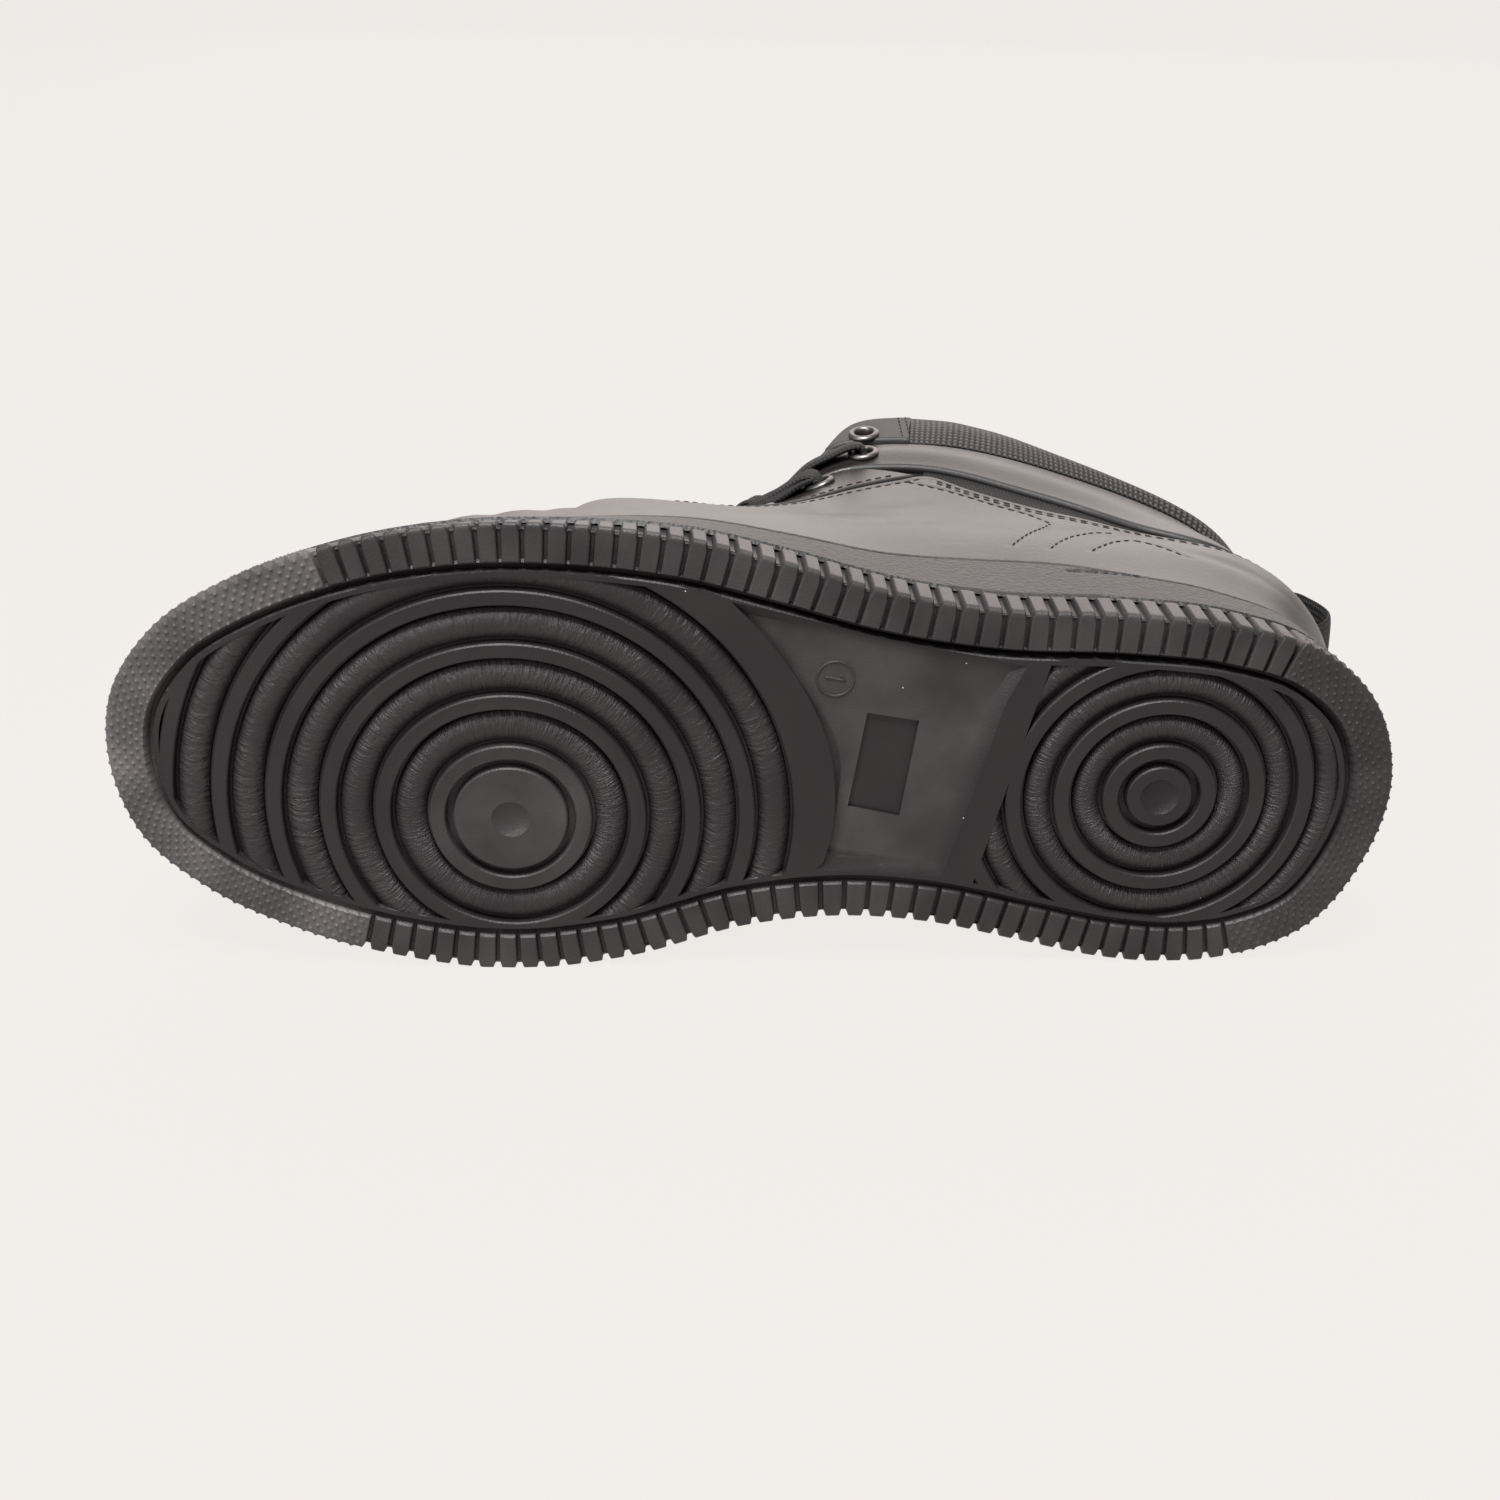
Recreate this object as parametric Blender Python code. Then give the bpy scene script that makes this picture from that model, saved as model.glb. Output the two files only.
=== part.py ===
import math

import bmesh
import bpy
from mathutils import Matrix, Vector
from mathutils.bvhtree import BVHTree

# Driving sizes in metres. The shoe is modelled standing: +X to the toe, +Y to the outer side, +Z up.
SOLE_LENGTH = 0.296
BALL_WIDTH = 0.113
HEEL_WIDTH = 0.090
COLLAR_HEIGHT = 0.152
TOE_SPRING = 0.007
RIM_HEIGHT = 0.011
RIM_WIDTH = 0.0095
RIM_GROOVE = 0.0018
RIM_ROUND = 0.0008
TREAD_DEPTH = 0.0022
TREAD_LAND = 0.0014
RIB_PITCH = 0.0052
RIB_DEPTH = 0.0013
FOREFOOT_PITCH = 0.01255
FOREFOOT_DISC = 0.0131
HEEL_PITCH = 0.0113
HEEL_DISC = 0.0076
RING_FLAT = 0.0036
DIMPLE_RADIUS = 0.0045
DIMPLE_DEPTH = 0.0016
ARCH_DEPTH = 0.0014
ARCH_BEVEL = 0.004
CUP_HEIGHT = 0.027
CUP_INSET = 0.008
CUP_LIP = 0.003
CUP_FOOT_BEVEL = 0.0008
CUP_FOOT_HEIGHT = 0.0014
CUP_LIP_ROUND = 0.0009
FOREFOOT_STACK = 0.015
HEEL_STACK = 0.020
INSOLE_THICKNESS = 0.004
INSOLE_CLEARANCE = 0.0006
INSOLE_BEVEL = 0.0006
UPPER_WALL = 0.002
PANEL_THICKNESS = 0.0014
SEAM_GAP = 0.0006
COLLAR_PAD = 0.0055
COLLAR_ROLL = 0.003
TONGUE_THICKNESS = 0.005
TONGUE_RISE = 0.016
TONGUE_CLEARANCE = 0.0008
EYELET_RADIUS = 0.0044
EYELET_HOLE = 0.0025
EYELET_HEIGHT = 0.0009
LACE_WIDTH = 0.0075
LACE_THICKNESS = 0.0017
LOOP_WIDTH = 0.016
LOOP_THICKNESS = 0.0016
LOOP_REACH = 0.012
GAP = 0.0003

# Outline of the sole's edge from the toe tip round the outer side.
# Columns: share of the length from the heel, share of the width there.
OUTLINE = (
    (1.000, 0.097),
    (0.992, 0.274),
    (0.949, 0.429),
    (0.885, 0.531),
    (0.804, 0.604),
    (0.703, 0.639),
    (0.617, 0.641),
    (0.541, 0.638),
    (0.466, 0.611),
    (0.392, 0.569),
    (0.311, 0.533),
    (0.209, 0.507),
    (0.128, 0.467),
    (0.064, 0.389),
    (0.019, 0.244),
    (0.000, 0.022),
    (0.017, -0.222),
    (0.057, -0.406),
    (0.108, -0.481),
    (0.162, -0.502),
    (0.223, -0.478),
    (0.291, -0.417),
    (0.361, -0.348),
    (0.432, -0.305),
    (0.507, -0.302),
    (0.601, -0.349),
    (0.696, -0.361),
    (0.784, -0.327),
    (0.865, -0.261),
    (0.936, -0.164),
    (0.983, -0.044),
)

# Top edge of the cup. Columns: place from heel to toe, share of the cup height,
# inward lean on the outer side, inward lean on the inner side, as shares of the cup inset.
CUP = (
    (0.00, 1.000, 0.438, 0.438),
    (0.10, 1.000, 0.400, 0.400),
    (0.20, 1.000, 0.275, 0.312),
    (0.28, 1.093, 0.150, 0.188),
    (0.36, 1.352, 0.125, 0.062),
    (0.44, 1.074, 0.150, 0.062),
    (0.50, 0.944, 0.300, 0.188),
    (0.60, 0.889, 0.875, 0.500),
    (0.70, 0.889, 1.000, 0.688),
    (0.80, 0.889, 0.938, 0.750),
    (0.90, 0.889, 0.812, 0.750),
    (1.00, 0.889, 0.750, 0.750),
)

# Rings of the upper above the cup. Columns: place from heel to toe, share of the length,
# share of the collar height, share of the width on the outer side, the same on the inner side.
LOW_RING = (
    (0.00, 0.009, 0.362, 0.000, 0.000),
    (0.10, 0.029, 0.362, 0.228, -0.233),
    (0.20, 0.088, 0.362, 0.378, -0.383),
    (0.30, 0.196, 0.368, 0.439, -0.428),
    (0.40, 0.338, 0.368, 0.486, -0.381),
    (0.50, 0.493, 0.342, 0.510, -0.337),
    (0.60, 0.645, 0.303, 0.528, -0.326),
    (0.70, 0.780, 0.273, 0.500, -0.279),
    (0.80, 0.883, 0.257, 0.407, -0.164),
    (0.90, 0.949, 0.247, 0.270, -0.009),
    (1.00, 0.968, 0.243, 0.133, 0.133),
)
MID_RING = (
    (0.00, 0.020, 0.553, 0.000, 0.000),
    (0.10, 0.042, 0.546, 0.206, -0.206),
    (0.20, 0.098, 0.539, 0.344, -0.344),
    (0.30, 0.193, 0.553, 0.411, -0.411),
    (0.40, 0.328, 0.566, 0.465, -0.393),
    (0.50, 0.470, 0.526, 0.450, -0.334),
    (0.60, 0.615, 0.434, 0.449, -0.308),
    (0.70, 0.743, 0.365, 0.412, -0.239),
    (0.80, 0.831, 0.339, 0.323, -0.124),
    (0.90, 0.889, 0.332, 0.221, -0.009),
    (1.00, 0.905, 0.329, 0.111, 0.111),
)
HIGH_RING = (
    (0.00, 0.029, 0.697, 0.000, 0.000),
    (0.10, 0.051, 0.681, 0.183, -0.183),
    (0.20, 0.103, 0.658, 0.317, -0.317),
    (0.30, 0.194, 0.724, 0.409, -0.430),
    (0.40, 0.324, 0.803, 0.476, -0.422),
    (0.45, 0.389, 0.803, 0.458, -0.382),
    (0.50, 0.446, 0.684, 0.397, -0.309),
    (0.60, 0.578, 0.572, 0.329, -0.236),
    (0.70, 0.686, 0.484, 0.279, -0.164),
    (0.80, 0.750, 0.444, 0.212, -0.084),
    (0.90, 0.787, 0.428, 0.150, -0.004),
    (1.00, 0.799, 0.424, 0.075, 0.075),
)
OPEN_RING = (
    (0.00, 0.025, 0.816, 0.000, 0.000),
    (0.10, 0.049, 0.793, 0.172, -0.172),
    (0.20, 0.101, 0.760, 0.317, -0.317),
    (0.30, 0.194, 0.872, 0.420, -0.438),
    (0.36, 0.260, 0.964, 0.467, -0.452),
    (0.42, 0.341, 0.990, 0.502, -0.424),
    (0.45, 0.385, 0.970, 0.486, -0.394),
    (0.48, 0.414, 0.888, 0.434, -0.349),
    (0.52, 0.449, 0.783, 0.355, -0.283),
    (0.60, 0.541, 0.684, 0.248, -0.186),
    (0.70, 0.632, 0.602, 0.171, -0.103),
    (0.80, 0.676, 0.566, 0.120, -0.049),
    (0.90, 0.696, 0.553, 0.078, 0.000),
    (1.00, 0.699, 0.549, 0.040, 0.040),
)

# Heights of the rings in the upper's own second coordinate, from the feather edge to the opening.
RING_LEVELS = (0.0, 0.14, 0.36, 0.60, 0.82, 1.0)

# Places of the upper's columns from heel to toe, and of its rows from the feather edge up.
COLUMNS = (
    0.0, 0.055, 0.11, 0.165, 0.22, 0.29, 0.36, 0.41, 0.445, 0.475,
    0.51, 0.56, 0.62, 0.68, 0.74, 0.80, 0.86, 0.93, 1.0,
)
ROWS = (0.0, 0.14, 0.25, 0.38, 0.53, 0.68, 0.82, 0.91, 1.0)

# Shares that place the collar's end, the flap's rear edge and the tongue's edges on the upper.
COLLAR_END = 0.3965
FLAP_START = 0.331
TONGUE_LEVEL = 0.87

# Where the cup's side is widest: share of its lean, share of its height.
CUP_BULGE = (0.76, 0.6)

# Seam lines in side view. Columns: share of the length, share of the collar height.
MESH_SEAM = (
    (-0.05, 0.704),
    (0.03, 0.704),
    (0.07, 0.697),
    (0.10, 0.708),
    (0.145, 0.743),
    (0.195, 0.792),
    (0.245, 0.838),
    (0.290, 0.866),
    (FLAP_START, 0.878),
    (0.460, 0.885),
)
BAND_SEAM = (
    (-0.05, 0.500),
    (0.06, 0.500),
    (0.105, 0.500),
    (0.140, 0.526),
    (0.193, 0.610),
    (0.247, 0.671),
    (FLAP_START, 0.753),
    (0.380, 0.766),
    (0.460, 0.772),
)
QUARTER_SEAM = (
    (-0.05, 0.460),
    (0.06, 0.452),
    (0.105, 0.442),
    (0.140, 0.463),
    (0.193, 0.539),
    (0.247, 0.586),
    (0.297, 0.651),
    (FLAP_START, 0.706),
)
QUARTER_FRONT = (
    (FLAP_START, 0.706),
    (0.358, 0.684),
    (0.395, 0.648),
    (0.456, 0.569),
    (0.517, 0.480),
    (0.581, 0.368),
    (0.628, 0.263),
    (0.655, 0.130),
)
EYESTAY_EDGE = (
    (0.334, 0.748),
    (0.334, 0.712),
    (0.362, 0.690),
    (0.399, 0.654),
    (0.452, 0.584),
    (0.500, 0.548),
    (0.560, 0.515),
    (0.625, 0.478),
    (0.690, 0.470),
    (0.740, 0.490),
    (0.790, 0.530),
)
EYESTAY_TOP = (
    (0.800, 1.000),
    (0.470, 1.000),
    (0.470, 0.766),
    (0.380, 0.761),
)

# Eyelets from the top down. Columns: share of the length, share of the collar height.
EYELETS = (
    (0.378, 0.908),
    (0.382, 0.816),
    (0.424, 0.716),
    (0.480, 0.645),
    (0.535, 0.593),
    (0.588, 0.543),
    (0.640, 0.498),
)

# Tongue over the throat. Columns: place on the upper, height of its middle over its two edges
# as a share of the collar height.
TONGUE = (
    (0.440, 0.125),
    (0.475, 0.125),
    (0.520, 0.115),
    (0.580, 0.095),
    (0.650, 0.070),
    (0.730, 0.045),
    (0.810, 0.025),
)

# Colour, roughness and metallic value of each material.
MATERIALS = {
    "sole_rubber": ("2E2B2C", 0.62, 0.0),
    "cup_rubber": ("3B3736", 0.58, 0.0),
    "leather": ("453F3D", 0.50, 0.0),
    "mesh": ("2B2A2A", 0.85, 0.0),
    "lining": ("242424", 0.90, 0.0),
    "webbing": ("1E1D1E", 0.85, 0.0),
    "eyelet_metal": ("3A3A3C", 0.30, 1.0),
    "lace": ("1D1C1D", 0.90, 0.0),
}


def clear_scene():
    for item in list(bpy.data.objects):
        bpy.data.objects.remove(item, do_unlink=True)


def smooth_step(value):
    value = min(max(value, 0.0), 1.0)
    return value * value * (3.0 - 2.0 * value)


def width_at(share):
    return HEEL_WIDTH + (BALL_WIDTH - HEEL_WIDTH) * smooth_step((share - 0.3) / 0.4)


def spring_at(x):
    start = 0.66 * SOLE_LENGTH
    if x <= start:
        return 0.0
    return TOE_SPRING * ((x - start) / (SOLE_LENGTH - start)) ** 2


def hermite(a, b, slope_a, slope_b, span, share):
    s2 = share * share
    s3 = s2 * share
    return (
        a * (2 * s3 - 3 * s2 + 1)
        + slope_a * ((s3 - 2 * s2 + share) * span)
        + b * (3 * s2 - 2 * s3)
        + slope_b * ((s3 - s2) * span)
    )


def slope(before, here, after, span_before, span_after):
    first = (here - before) / span_before
    second = (after - here) / span_after
    return (first * span_after + second * span_before) / (span_before + span_after)


def closed_curve(knots, points, period, at):
    """Smooth closed curve through points at rising knots."""
    count = len(knots)
    at = at % period
    index = count - 1
    for k in range(count - 1):
        if knots[k] <= at < knots[k + 1]:
            index = k
            break

    def knot(k):
        turns, rest = divmod(k, count)
        return knots[rest] + turns * period

    def point(k):
        return points[k % count]

    place = at if at >= knots[0] else at + period
    span = knot(index + 1) - knot(index)
    slope_a = slope(point(index - 1), point(index), point(index + 1), knot(index) - knot(index - 1), span)
    slope_b = slope(
        point(index), point(index + 1), point(index + 2), span, knot(index + 2) - knot(index + 1)
    )
    share = (place - knot(index)) / span
    return hermite(point(index), point(index + 1), slope_a, slope_b, span, share)


def open_curve(knots, points, at):
    """Smooth open curve through points at rising knots."""
    last = len(knots) - 1
    at = min(max(at, knots[0]), knots[last])
    index = 0
    while index < last - 1 and at > knots[index + 1]:
        index += 1
    span = knots[index + 1] - knots[index]
    chord = (points[index + 1] - points[index]) / span
    if index > 0:
        before = knots[index] - knots[index - 1]
        slope_a = slope(points[index - 1], points[index], points[index + 1], before, span)
    else:
        slope_a = chord
    if index < last - 1:
        after = knots[index + 2] - knots[index + 1]
        slope_b = slope(points[index], points[index + 1], points[index + 2], span, after)
    else:
        slope_b = chord
    share = (at - knots[index]) / span
    return hermite(points[index], points[index + 1], slope_a, slope_b, span, share)


def dense_outline():
    points = [Vector((a * SOLE_LENGTH, b * width_at(a))) for a, b in OUTLINE]
    knots = [0.0]
    for k in range(1, len(points)):
        knots.append(knots[-1] + (points[k] - points[k - 1]).length)
    period = knots[-1] + (points[0] - points[-1]).length
    steps = 620
    dense = [closed_curve(knots, points, period, period * k / steps) for k in range(steps)]
    lengths = [0.0]
    for k in range(1, steps + 1):
        lengths.append(lengths[-1] + (dense[k % steps] - dense[k - 1]).length)
    return dense, lengths


EDGE, EDGE_LENGTHS = dense_outline()
EDGE_TOTAL = EDGE_LENGTHS[-1]


def edge_index(distance):
    distance = distance % EDGE_TOTAL
    low, high = 0, len(EDGE)
    while high - low > 1:
        middle = (low + high) // 2
        if EDGE_LENGTHS[middle] <= distance:
            low = middle
        else:
            high = middle
    return low, (distance - EDGE_LENGTHS[low]) / (EDGE_LENGTHS[low + 1] - EDGE_LENGTHS[low])


def edge_point(distance, inset=0.0):
    """Point of the sole's outline at a distance along it, moved inward."""
    count = len(EDGE)
    low, share = edge_index(distance)
    here = EDGE[low].lerp(EDGE[(low + 1) % count], share)
    ahead = EDGE[(low + 3) % count].lerp(EDGE[(low + 4) % count], share)
    behind = EDGE[(low - 3) % count].lerp(EDGE[(low - 2) % count], share)
    along = (ahead - behind).normalized()
    return here + Vector((-along.y, along.x)) * inset


TOE_INDEX = max(range(len(EDGE)), key=lambda k: EDGE[k].x)
HEEL_INDEX = min(range(len(EDGE)), key=lambda k: EDGE[k].x)
TOE_DISTANCE = EDGE_LENGTHS[TOE_INDEX]
HEEL_DISTANCE = EDGE_LENGTHS[HEEL_INDEX]


def distance_at_x(x, outer):
    """Distance along the outline where one side passes a given length."""
    if outer:
        low, high = TOE_DISTANCE - EDGE_TOTAL * (TOE_DISTANCE > HEEL_DISTANCE), HEEL_DISTANCE
    else:
        low, high = HEEL_DISTANCE, TOE_DISTANCE + EDGE_TOTAL * (TOE_DISTANCE < HEEL_DISTANCE)
    for _ in range(40):
        middle = 0.5 * (low + high)
        ahead = edge_point(middle).x > x
        if ahead == outer:
            low = middle
        else:
            high = middle
    return 0.5 * (low + high)


def column_distance(s):
    """Distance along the outline of a column: 0 heel, 1 toe by the outer side, 2 heel again."""
    s = s % 2.0
    place = s if s <= 1.0 else 2.0 - s
    heel_x = EDGE[HEEL_INDEX].x
    toe_x = EDGE[TOE_INDEX].x
    x = heel_x + (toe_x - heel_x) * (1.0 - math.cos(math.pi * place)) / 2.0
    if place < 1e-6:
        return HEEL_DISTANCE
    if place > 1.0 - 1e-6:
        return TOE_DISTANCE
    return distance_at_x(x, s <= 1.0)


DISTANCES = {}


def column_edge(s, inset):
    key = round(s % 2.0, 6)
    if key not in DISTANCES:
        DISTANCES[key] = column_distance(s)
    return edge_point(DISTANCES[key], inset)


def loop_rows(rows, width):
    """Both sides of a table as knots and vectors round the whole shoe."""
    outer = [(row[0], Vector(width(row, False))) for row in rows]
    inner = [(2.0 - row[0], Vector(width(row, True))) for row in reversed(rows[1:-1])]
    joined = outer + inner
    return [item[0] for item in joined], [item[1] for item in joined]


def ring_vector(row, inner):
    share = width_at(row[1])
    y = (row[4] if inner else row[3]) * share
    x = row[1] * SOLE_LENGTH
    return (x, y, row[2] * COLLAR_HEIGHT + spring_at(x))


def cup_vector(row, inner):
    lean = row[3] if inner else row[2]
    return (row[1] * CUP_HEIGHT, lean * CUP_INSET, 0.0)


RINGS = [loop_rows(rows, ring_vector) for rows in (LOW_RING, MID_RING, HIGH_RING, OPEN_RING)]
CUP_LOOP = loop_rows(CUP, cup_vector)


def cup_top(s):
    return closed_curve(CUP_LOOP[0], CUP_LOOP[1], 2.0, s).x


def cup_lean(s):
    return closed_curve(CUP_LOOP[0], CUP_LOOP[1], 2.0, s).y


def floor_height(x):
    """Top of the midsole's floor above the flat ground."""
    share = smooth_step((x / SOLE_LENGTH - 0.25) / 0.35)
    return HEEL_STACK + (FOREFOOT_STACK - HEEL_STACK) * share


def base_ring(s, level):
    """The two lowest rings of the upper follow the inside of the cup."""
    flat = column_edge(s, cup_lean(s) + CUP_LIP + GAP)
    if level == 0:
        z = floor_height(flat.x) + GAP
    else:
        z = cup_top(s) + 2.0 * GAP
    return Vector((flat.x, flat.y, z + spring_at(flat.x)))


def upper_point(s, v):
    points = [base_ring(s, 0), base_ring(s, 1)]
    points += [closed_curve(knots, vectors, 2.0, s) for knots, vectors in RINGS]
    return open_curve(RING_LEVELS, points, v)


def upper_normal(s, v):
    step = 0.01
    along = upper_point(s + step, v) - upper_point(s - step, v)
    up = upper_point(s, min(v + step, 1.0)) - upper_point(s, max(v - step, 0.0))
    return up.cross(along).normalized()


def upper_surface(s, v, out):
    return upper_point(s, v) + upper_normal(s, v) * out


def loop_places():
    return list(COLUMNS) + [2.0 - place for place in reversed(COLUMNS[1:-1])]


def seam_height(seam, x):
    points = [Vector((a * SOLE_LENGTH, b * COLLAR_HEIGHT)) for a, b in seam]
    knots = [point.x for point in points]
    return open_curve(knots, points, x).y


def seam_line(seam, count, shift=0.0):
    """A seam as points in side view, moved up by a shift."""
    knots = list(range(len(seam)))
    points = [Vector((a * SOLE_LENGTH, b * COLLAR_HEIGHT + shift)) for a, b in seam]
    return [open_curve(knots, points, (len(seam) - 1) * k / count) for k in range(count + 1)]


def level_at(s, seam, shift=0.0):
    """Height coordinate at which a column crosses a seam."""
    low, high = 0.14, 1.0
    for _ in range(24):
        middle = 0.5 * (low + high)
        point = upper_point(s, middle)
        if point.z < seam_height(seam, point.x) + shift:
            low = middle
        else:
            high = middle
    return 0.5 * (low + high)


def locate(x, z, outer):
    """Column and height of the upper where side view shows a point."""
    best = None
    for i in range(16, 40):
        for j in range(30, 50):
            s = i / 50.0
            v = j / 50.0
            point = upper_point(s if outer else 2.0 - s, v)
            miss = (point.x - x) ** 2 + (point.z - z) ** 2
            if best is None or miss < best[0]:
                best = (miss, s, v)
    miss, s, v = best
    step = 0.01
    for _ in range(30):
        for ds, dv in ((step, 0), (-step, 0), (0, step), (0, -step)):
            point = upper_point((s + ds) if outer else 2.0 - s - ds, min(v + dv, 1.0))
            trial = (point.x - x) ** 2 + (point.z - z) ** 2
            if trial < miss:
                miss, s, v = trial, s + ds, min(v + dv, 1.0)
        step *= 0.75
    return (s if outer else 2.0 - s), v


def srgb_to_linear(value):
    return value / 12.92 if value <= 0.04045 else ((value + 0.055) / 1.055) ** 2.4


def make_material(name):
    colour, roughness, metallic = MATERIALS[name]
    material = bpy.data.materials.new(name)
    material.use_nodes = True
    shader = material.node_tree.nodes["Principled BSDF"]
    parts = [srgb_to_linear(int(colour[k:k + 2], 16) / 255.0) for k in (0, 2, 4)]
    shader.inputs["Base Color"].default_value = (*parts, 1.0)
    shader.inputs["Roughness"].default_value = roughness
    shader.inputs["Metallic"].default_value = metallic
    return material


def add_object(name, shape, collection, material=None, root=None):
    """Turn a bmesh into an object."""
    bmesh.ops.remove_doubles(shape, verts=shape.verts, dist=0.000001)
    bmesh.ops.recalc_face_normals(shape, faces=shape.faces)
    mesh = bpy.data.meshes.new(name)
    shape.to_mesh(mesh)
    shape.free()
    item = bpy.data.objects.new(name, mesh)
    collection.objects.link(item)
    if material:
        mesh.materials.append(material)
    if root:
        item.parent = root
    return item


def add_loop(shape, points):
    return [shape.verts.new(point) for point in points]


def join_loops(shape, first, second, flat=False):
    """Faces between two closed loops with as many points each, split the same way unless flat."""
    count = len(first)
    for k in range(count):
        n = (k + 1) % count
        if flat:
            shape.faces.new((first[k], first[n], second[n], second[k]))
        else:
            shape.faces.new((first[k], first[n], second[n]))
            shape.faces.new((first[k], second[n], second[k]))


def merge_flat(item, angle=0.0015):
    """Dissolve the splits that cutting left in flat faces, then triangulate."""
    shape = bmesh.new()
    shape.from_mesh(item.data)
    bmesh.ops.remove_doubles(shape, verts=shape.verts, dist=0.000002)
    bmesh.ops.dissolve_limit(
        shape, angle_limit=angle, use_dissolve_boundaries=False,
        verts=shape.verts, edges=shape.edges, delimit={"NORMAL"},
    )
    bmesh.ops.triangulate(shape, faces=shape.faces)
    shape.to_mesh(item.data)
    shape.free()


def join_coarse(shape, dense, coarse, step):
    """Faces between a dense closed loop and one with a point for every few of it."""
    count = len(dense)
    for k in range(len(coarse)):
        start = k * step
        end = count if k == len(coarse) - 1 else start + step
        corners = [dense[i % count] for i in range(start, end + 1)]
        shape.faces.new(corners + [coarse[(k + 1) % len(coarse)], coarse[k]])


def close_across(shape, loop):
    """Close a loop of columns with strips from side to side."""
    count = len(loop)
    half = count // 2
    shape.faces.new((loop[0], loop[1], loop[count - 1]))
    for k in range(1, half - 1):
        shape.faces.new((loop[k], loop[k + 1], loop[count - k - 1], loop[count - k]))
    shape.faces.new((loop[half - 1], loop[half], loop[half + 1]))


def boolean(target, cutter, operation):
    """Apply an exact Boolean, then remove the tool object."""
    modifier = target.modifiers.new(operation.lower(), "BOOLEAN")
    modifier.operation = operation
    modifier.solver = "EXACT"
    modifier.object = cutter
    cutter.hide_render = True
    cutter.display_type = "WIRE"
    bpy.context.view_layer.update()
    graph = bpy.context.evaluated_depsgraph_get()
    mesh = bpy.data.meshes.new_from_object(target.evaluated_get(graph))
    target.modifiers.clear()
    target.data = mesh
    bpy.data.objects.remove(cutter, do_unlink=True)


def prism(name, outline, low, high, axis, collection):
    """Closed block over an outline, along Y for side views or along Z for plans."""
    shape = bmesh.new()
    if axis == "Y":
        loops = [add_loop(shape, [(p[0], side, p[1]) for p in outline]) for side in (low, high)]
    else:
        loops = [add_loop(shape, [(p[0], p[1], side) for p in outline]) for side in (low, high)]
    join_loops(shape, loops[0], loops[1], flat=True)
    shape.faces.new(loops[0])
    shape.faces.new(loops[1])
    return add_object(name, shape, collection)


def turned(name, bands, centre, segments, collection):
    """Closed rings turned about a vertical axis, one for each band profile."""
    shape = bmesh.new()
    for band in bands:
        loops = []
        for radius, z in band:
            loops.append(add_loop(shape, [
                (
                    centre[0] + radius * math.cos(2 * math.pi * k / segments),
                    centre[1] + radius * math.sin(2 * math.pi * k / segments),
                    z,
                )
                for k in range(segments)
            ]))
        for k in range(len(loops)):
            join_loops(shape, loops[k], loops[(k + 1) % len(loops)], flat=True)
    return add_object(name, shape, collection)


def ring_bands(disc, pitch, count):
    """Profiles of the grooves and rounded rings between the flat rings of a pivot pattern."""
    below = -0.001
    deep = 0.94 * TREAD_DEPTH
    groove = 0.0019
    first = disc + RIM_GROOVE * 1.1
    bands = [[(disc, below), (disc + 0.0002, deep), (first - 0.0002, deep), (first, below)]]
    for k in range(count):
        start = first + k * pitch + RING_FLAT
        end = first + (k + 1) * pitch
        bands.append([
            (start, below),
            (start + 0.0002, deep),
            (start + groove, TREAD_DEPTH * 0.16),
            (end - groove, TREAD_DEPTH * 0.16),
            (end - 0.0002, deep),
            (end, below),
        ])
    return bands


def edge_loop(inset, step):
    count = int(round(EDGE_TOTAL / step))
    return [edge_point(EDGE_TOTAL * k / count, inset) for k in range(count)]


FOREFOOT_CENTRE = (0.690 * SOLE_LENGTH, 0.0)
HEEL_CENTRE = (0.183 * SOLE_LENGTH, 0.0)


def arch_side(share):
    """Front border of the arch panel, from the outer to the inner side."""
    y = (0.46 - 0.63 * share) * BALL_WIDTH
    bow = 0.034 * ((2.2 * share - 1.5) ** 2 - 0.3)
    return Vector(((0.447 + bow) * SOLE_LENGTH, y))


def arch_back(share):
    """Rear border of the arch panel, from the inner to the outer side."""
    return Vector(((0.353 - 0.062 * share) * SOLE_LENGTH, (-0.17 + 0.52 * share) * BALL_WIDTH))


def inside_panel(point, inset):
    """Pull a plan point inward until it lies inside the outline moved inward."""
    outer = point.y > 0.0
    distance = distance_at_x(point.x, outer)
    border = edge_point(distance, inset)
    if outer:
        return Vector((point.x, min(point.y, border.y)))
    return Vector((point.x, max(point.y, border.y)))


def rib_stations():
    """Places along the outline with a flag for the bottom of a groove between ribs."""
    zones = (
        (distance_at_x(0.820 * SOLE_LENGTH, True), distance_at_x(0.083 * SOLE_LENGTH, True)),
        (distance_at_x(0.118 * SOLE_LENGTH, False), distance_at_x(0.815 * SOLE_LENGTH, False)),
    )
    stations = []
    for index, (start, end) in enumerate(zones):
        count = int(round((end - start) / RIB_PITCH))
        pitch = (end - start) / count
        for k in range(count):
            here = start + k * pitch
            stations.append((here, True))
            stations.append((here + 0.16 * pitch, False))
            stations.append((here + 0.84 * pitch, False))
        stations.append((end, True))
        if index == 0:
            following = zones[1][0]
        else:
            following = zones[0][0] + EDGE_TOTAL
        plain = int(round((following - end) / 0.0075))
        gap = 0.16 * pitch
        for k in range(plain + 1):
            stations.append((end + gap + (following - end - 2 * gap) * k / plain, False))
    while len(stations) % 4:
        last = stations[-1][0]
        stations.append((last + 0.25 * (zones[0][0] + EDGE_TOTAL - last), False))
    return stations


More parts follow.
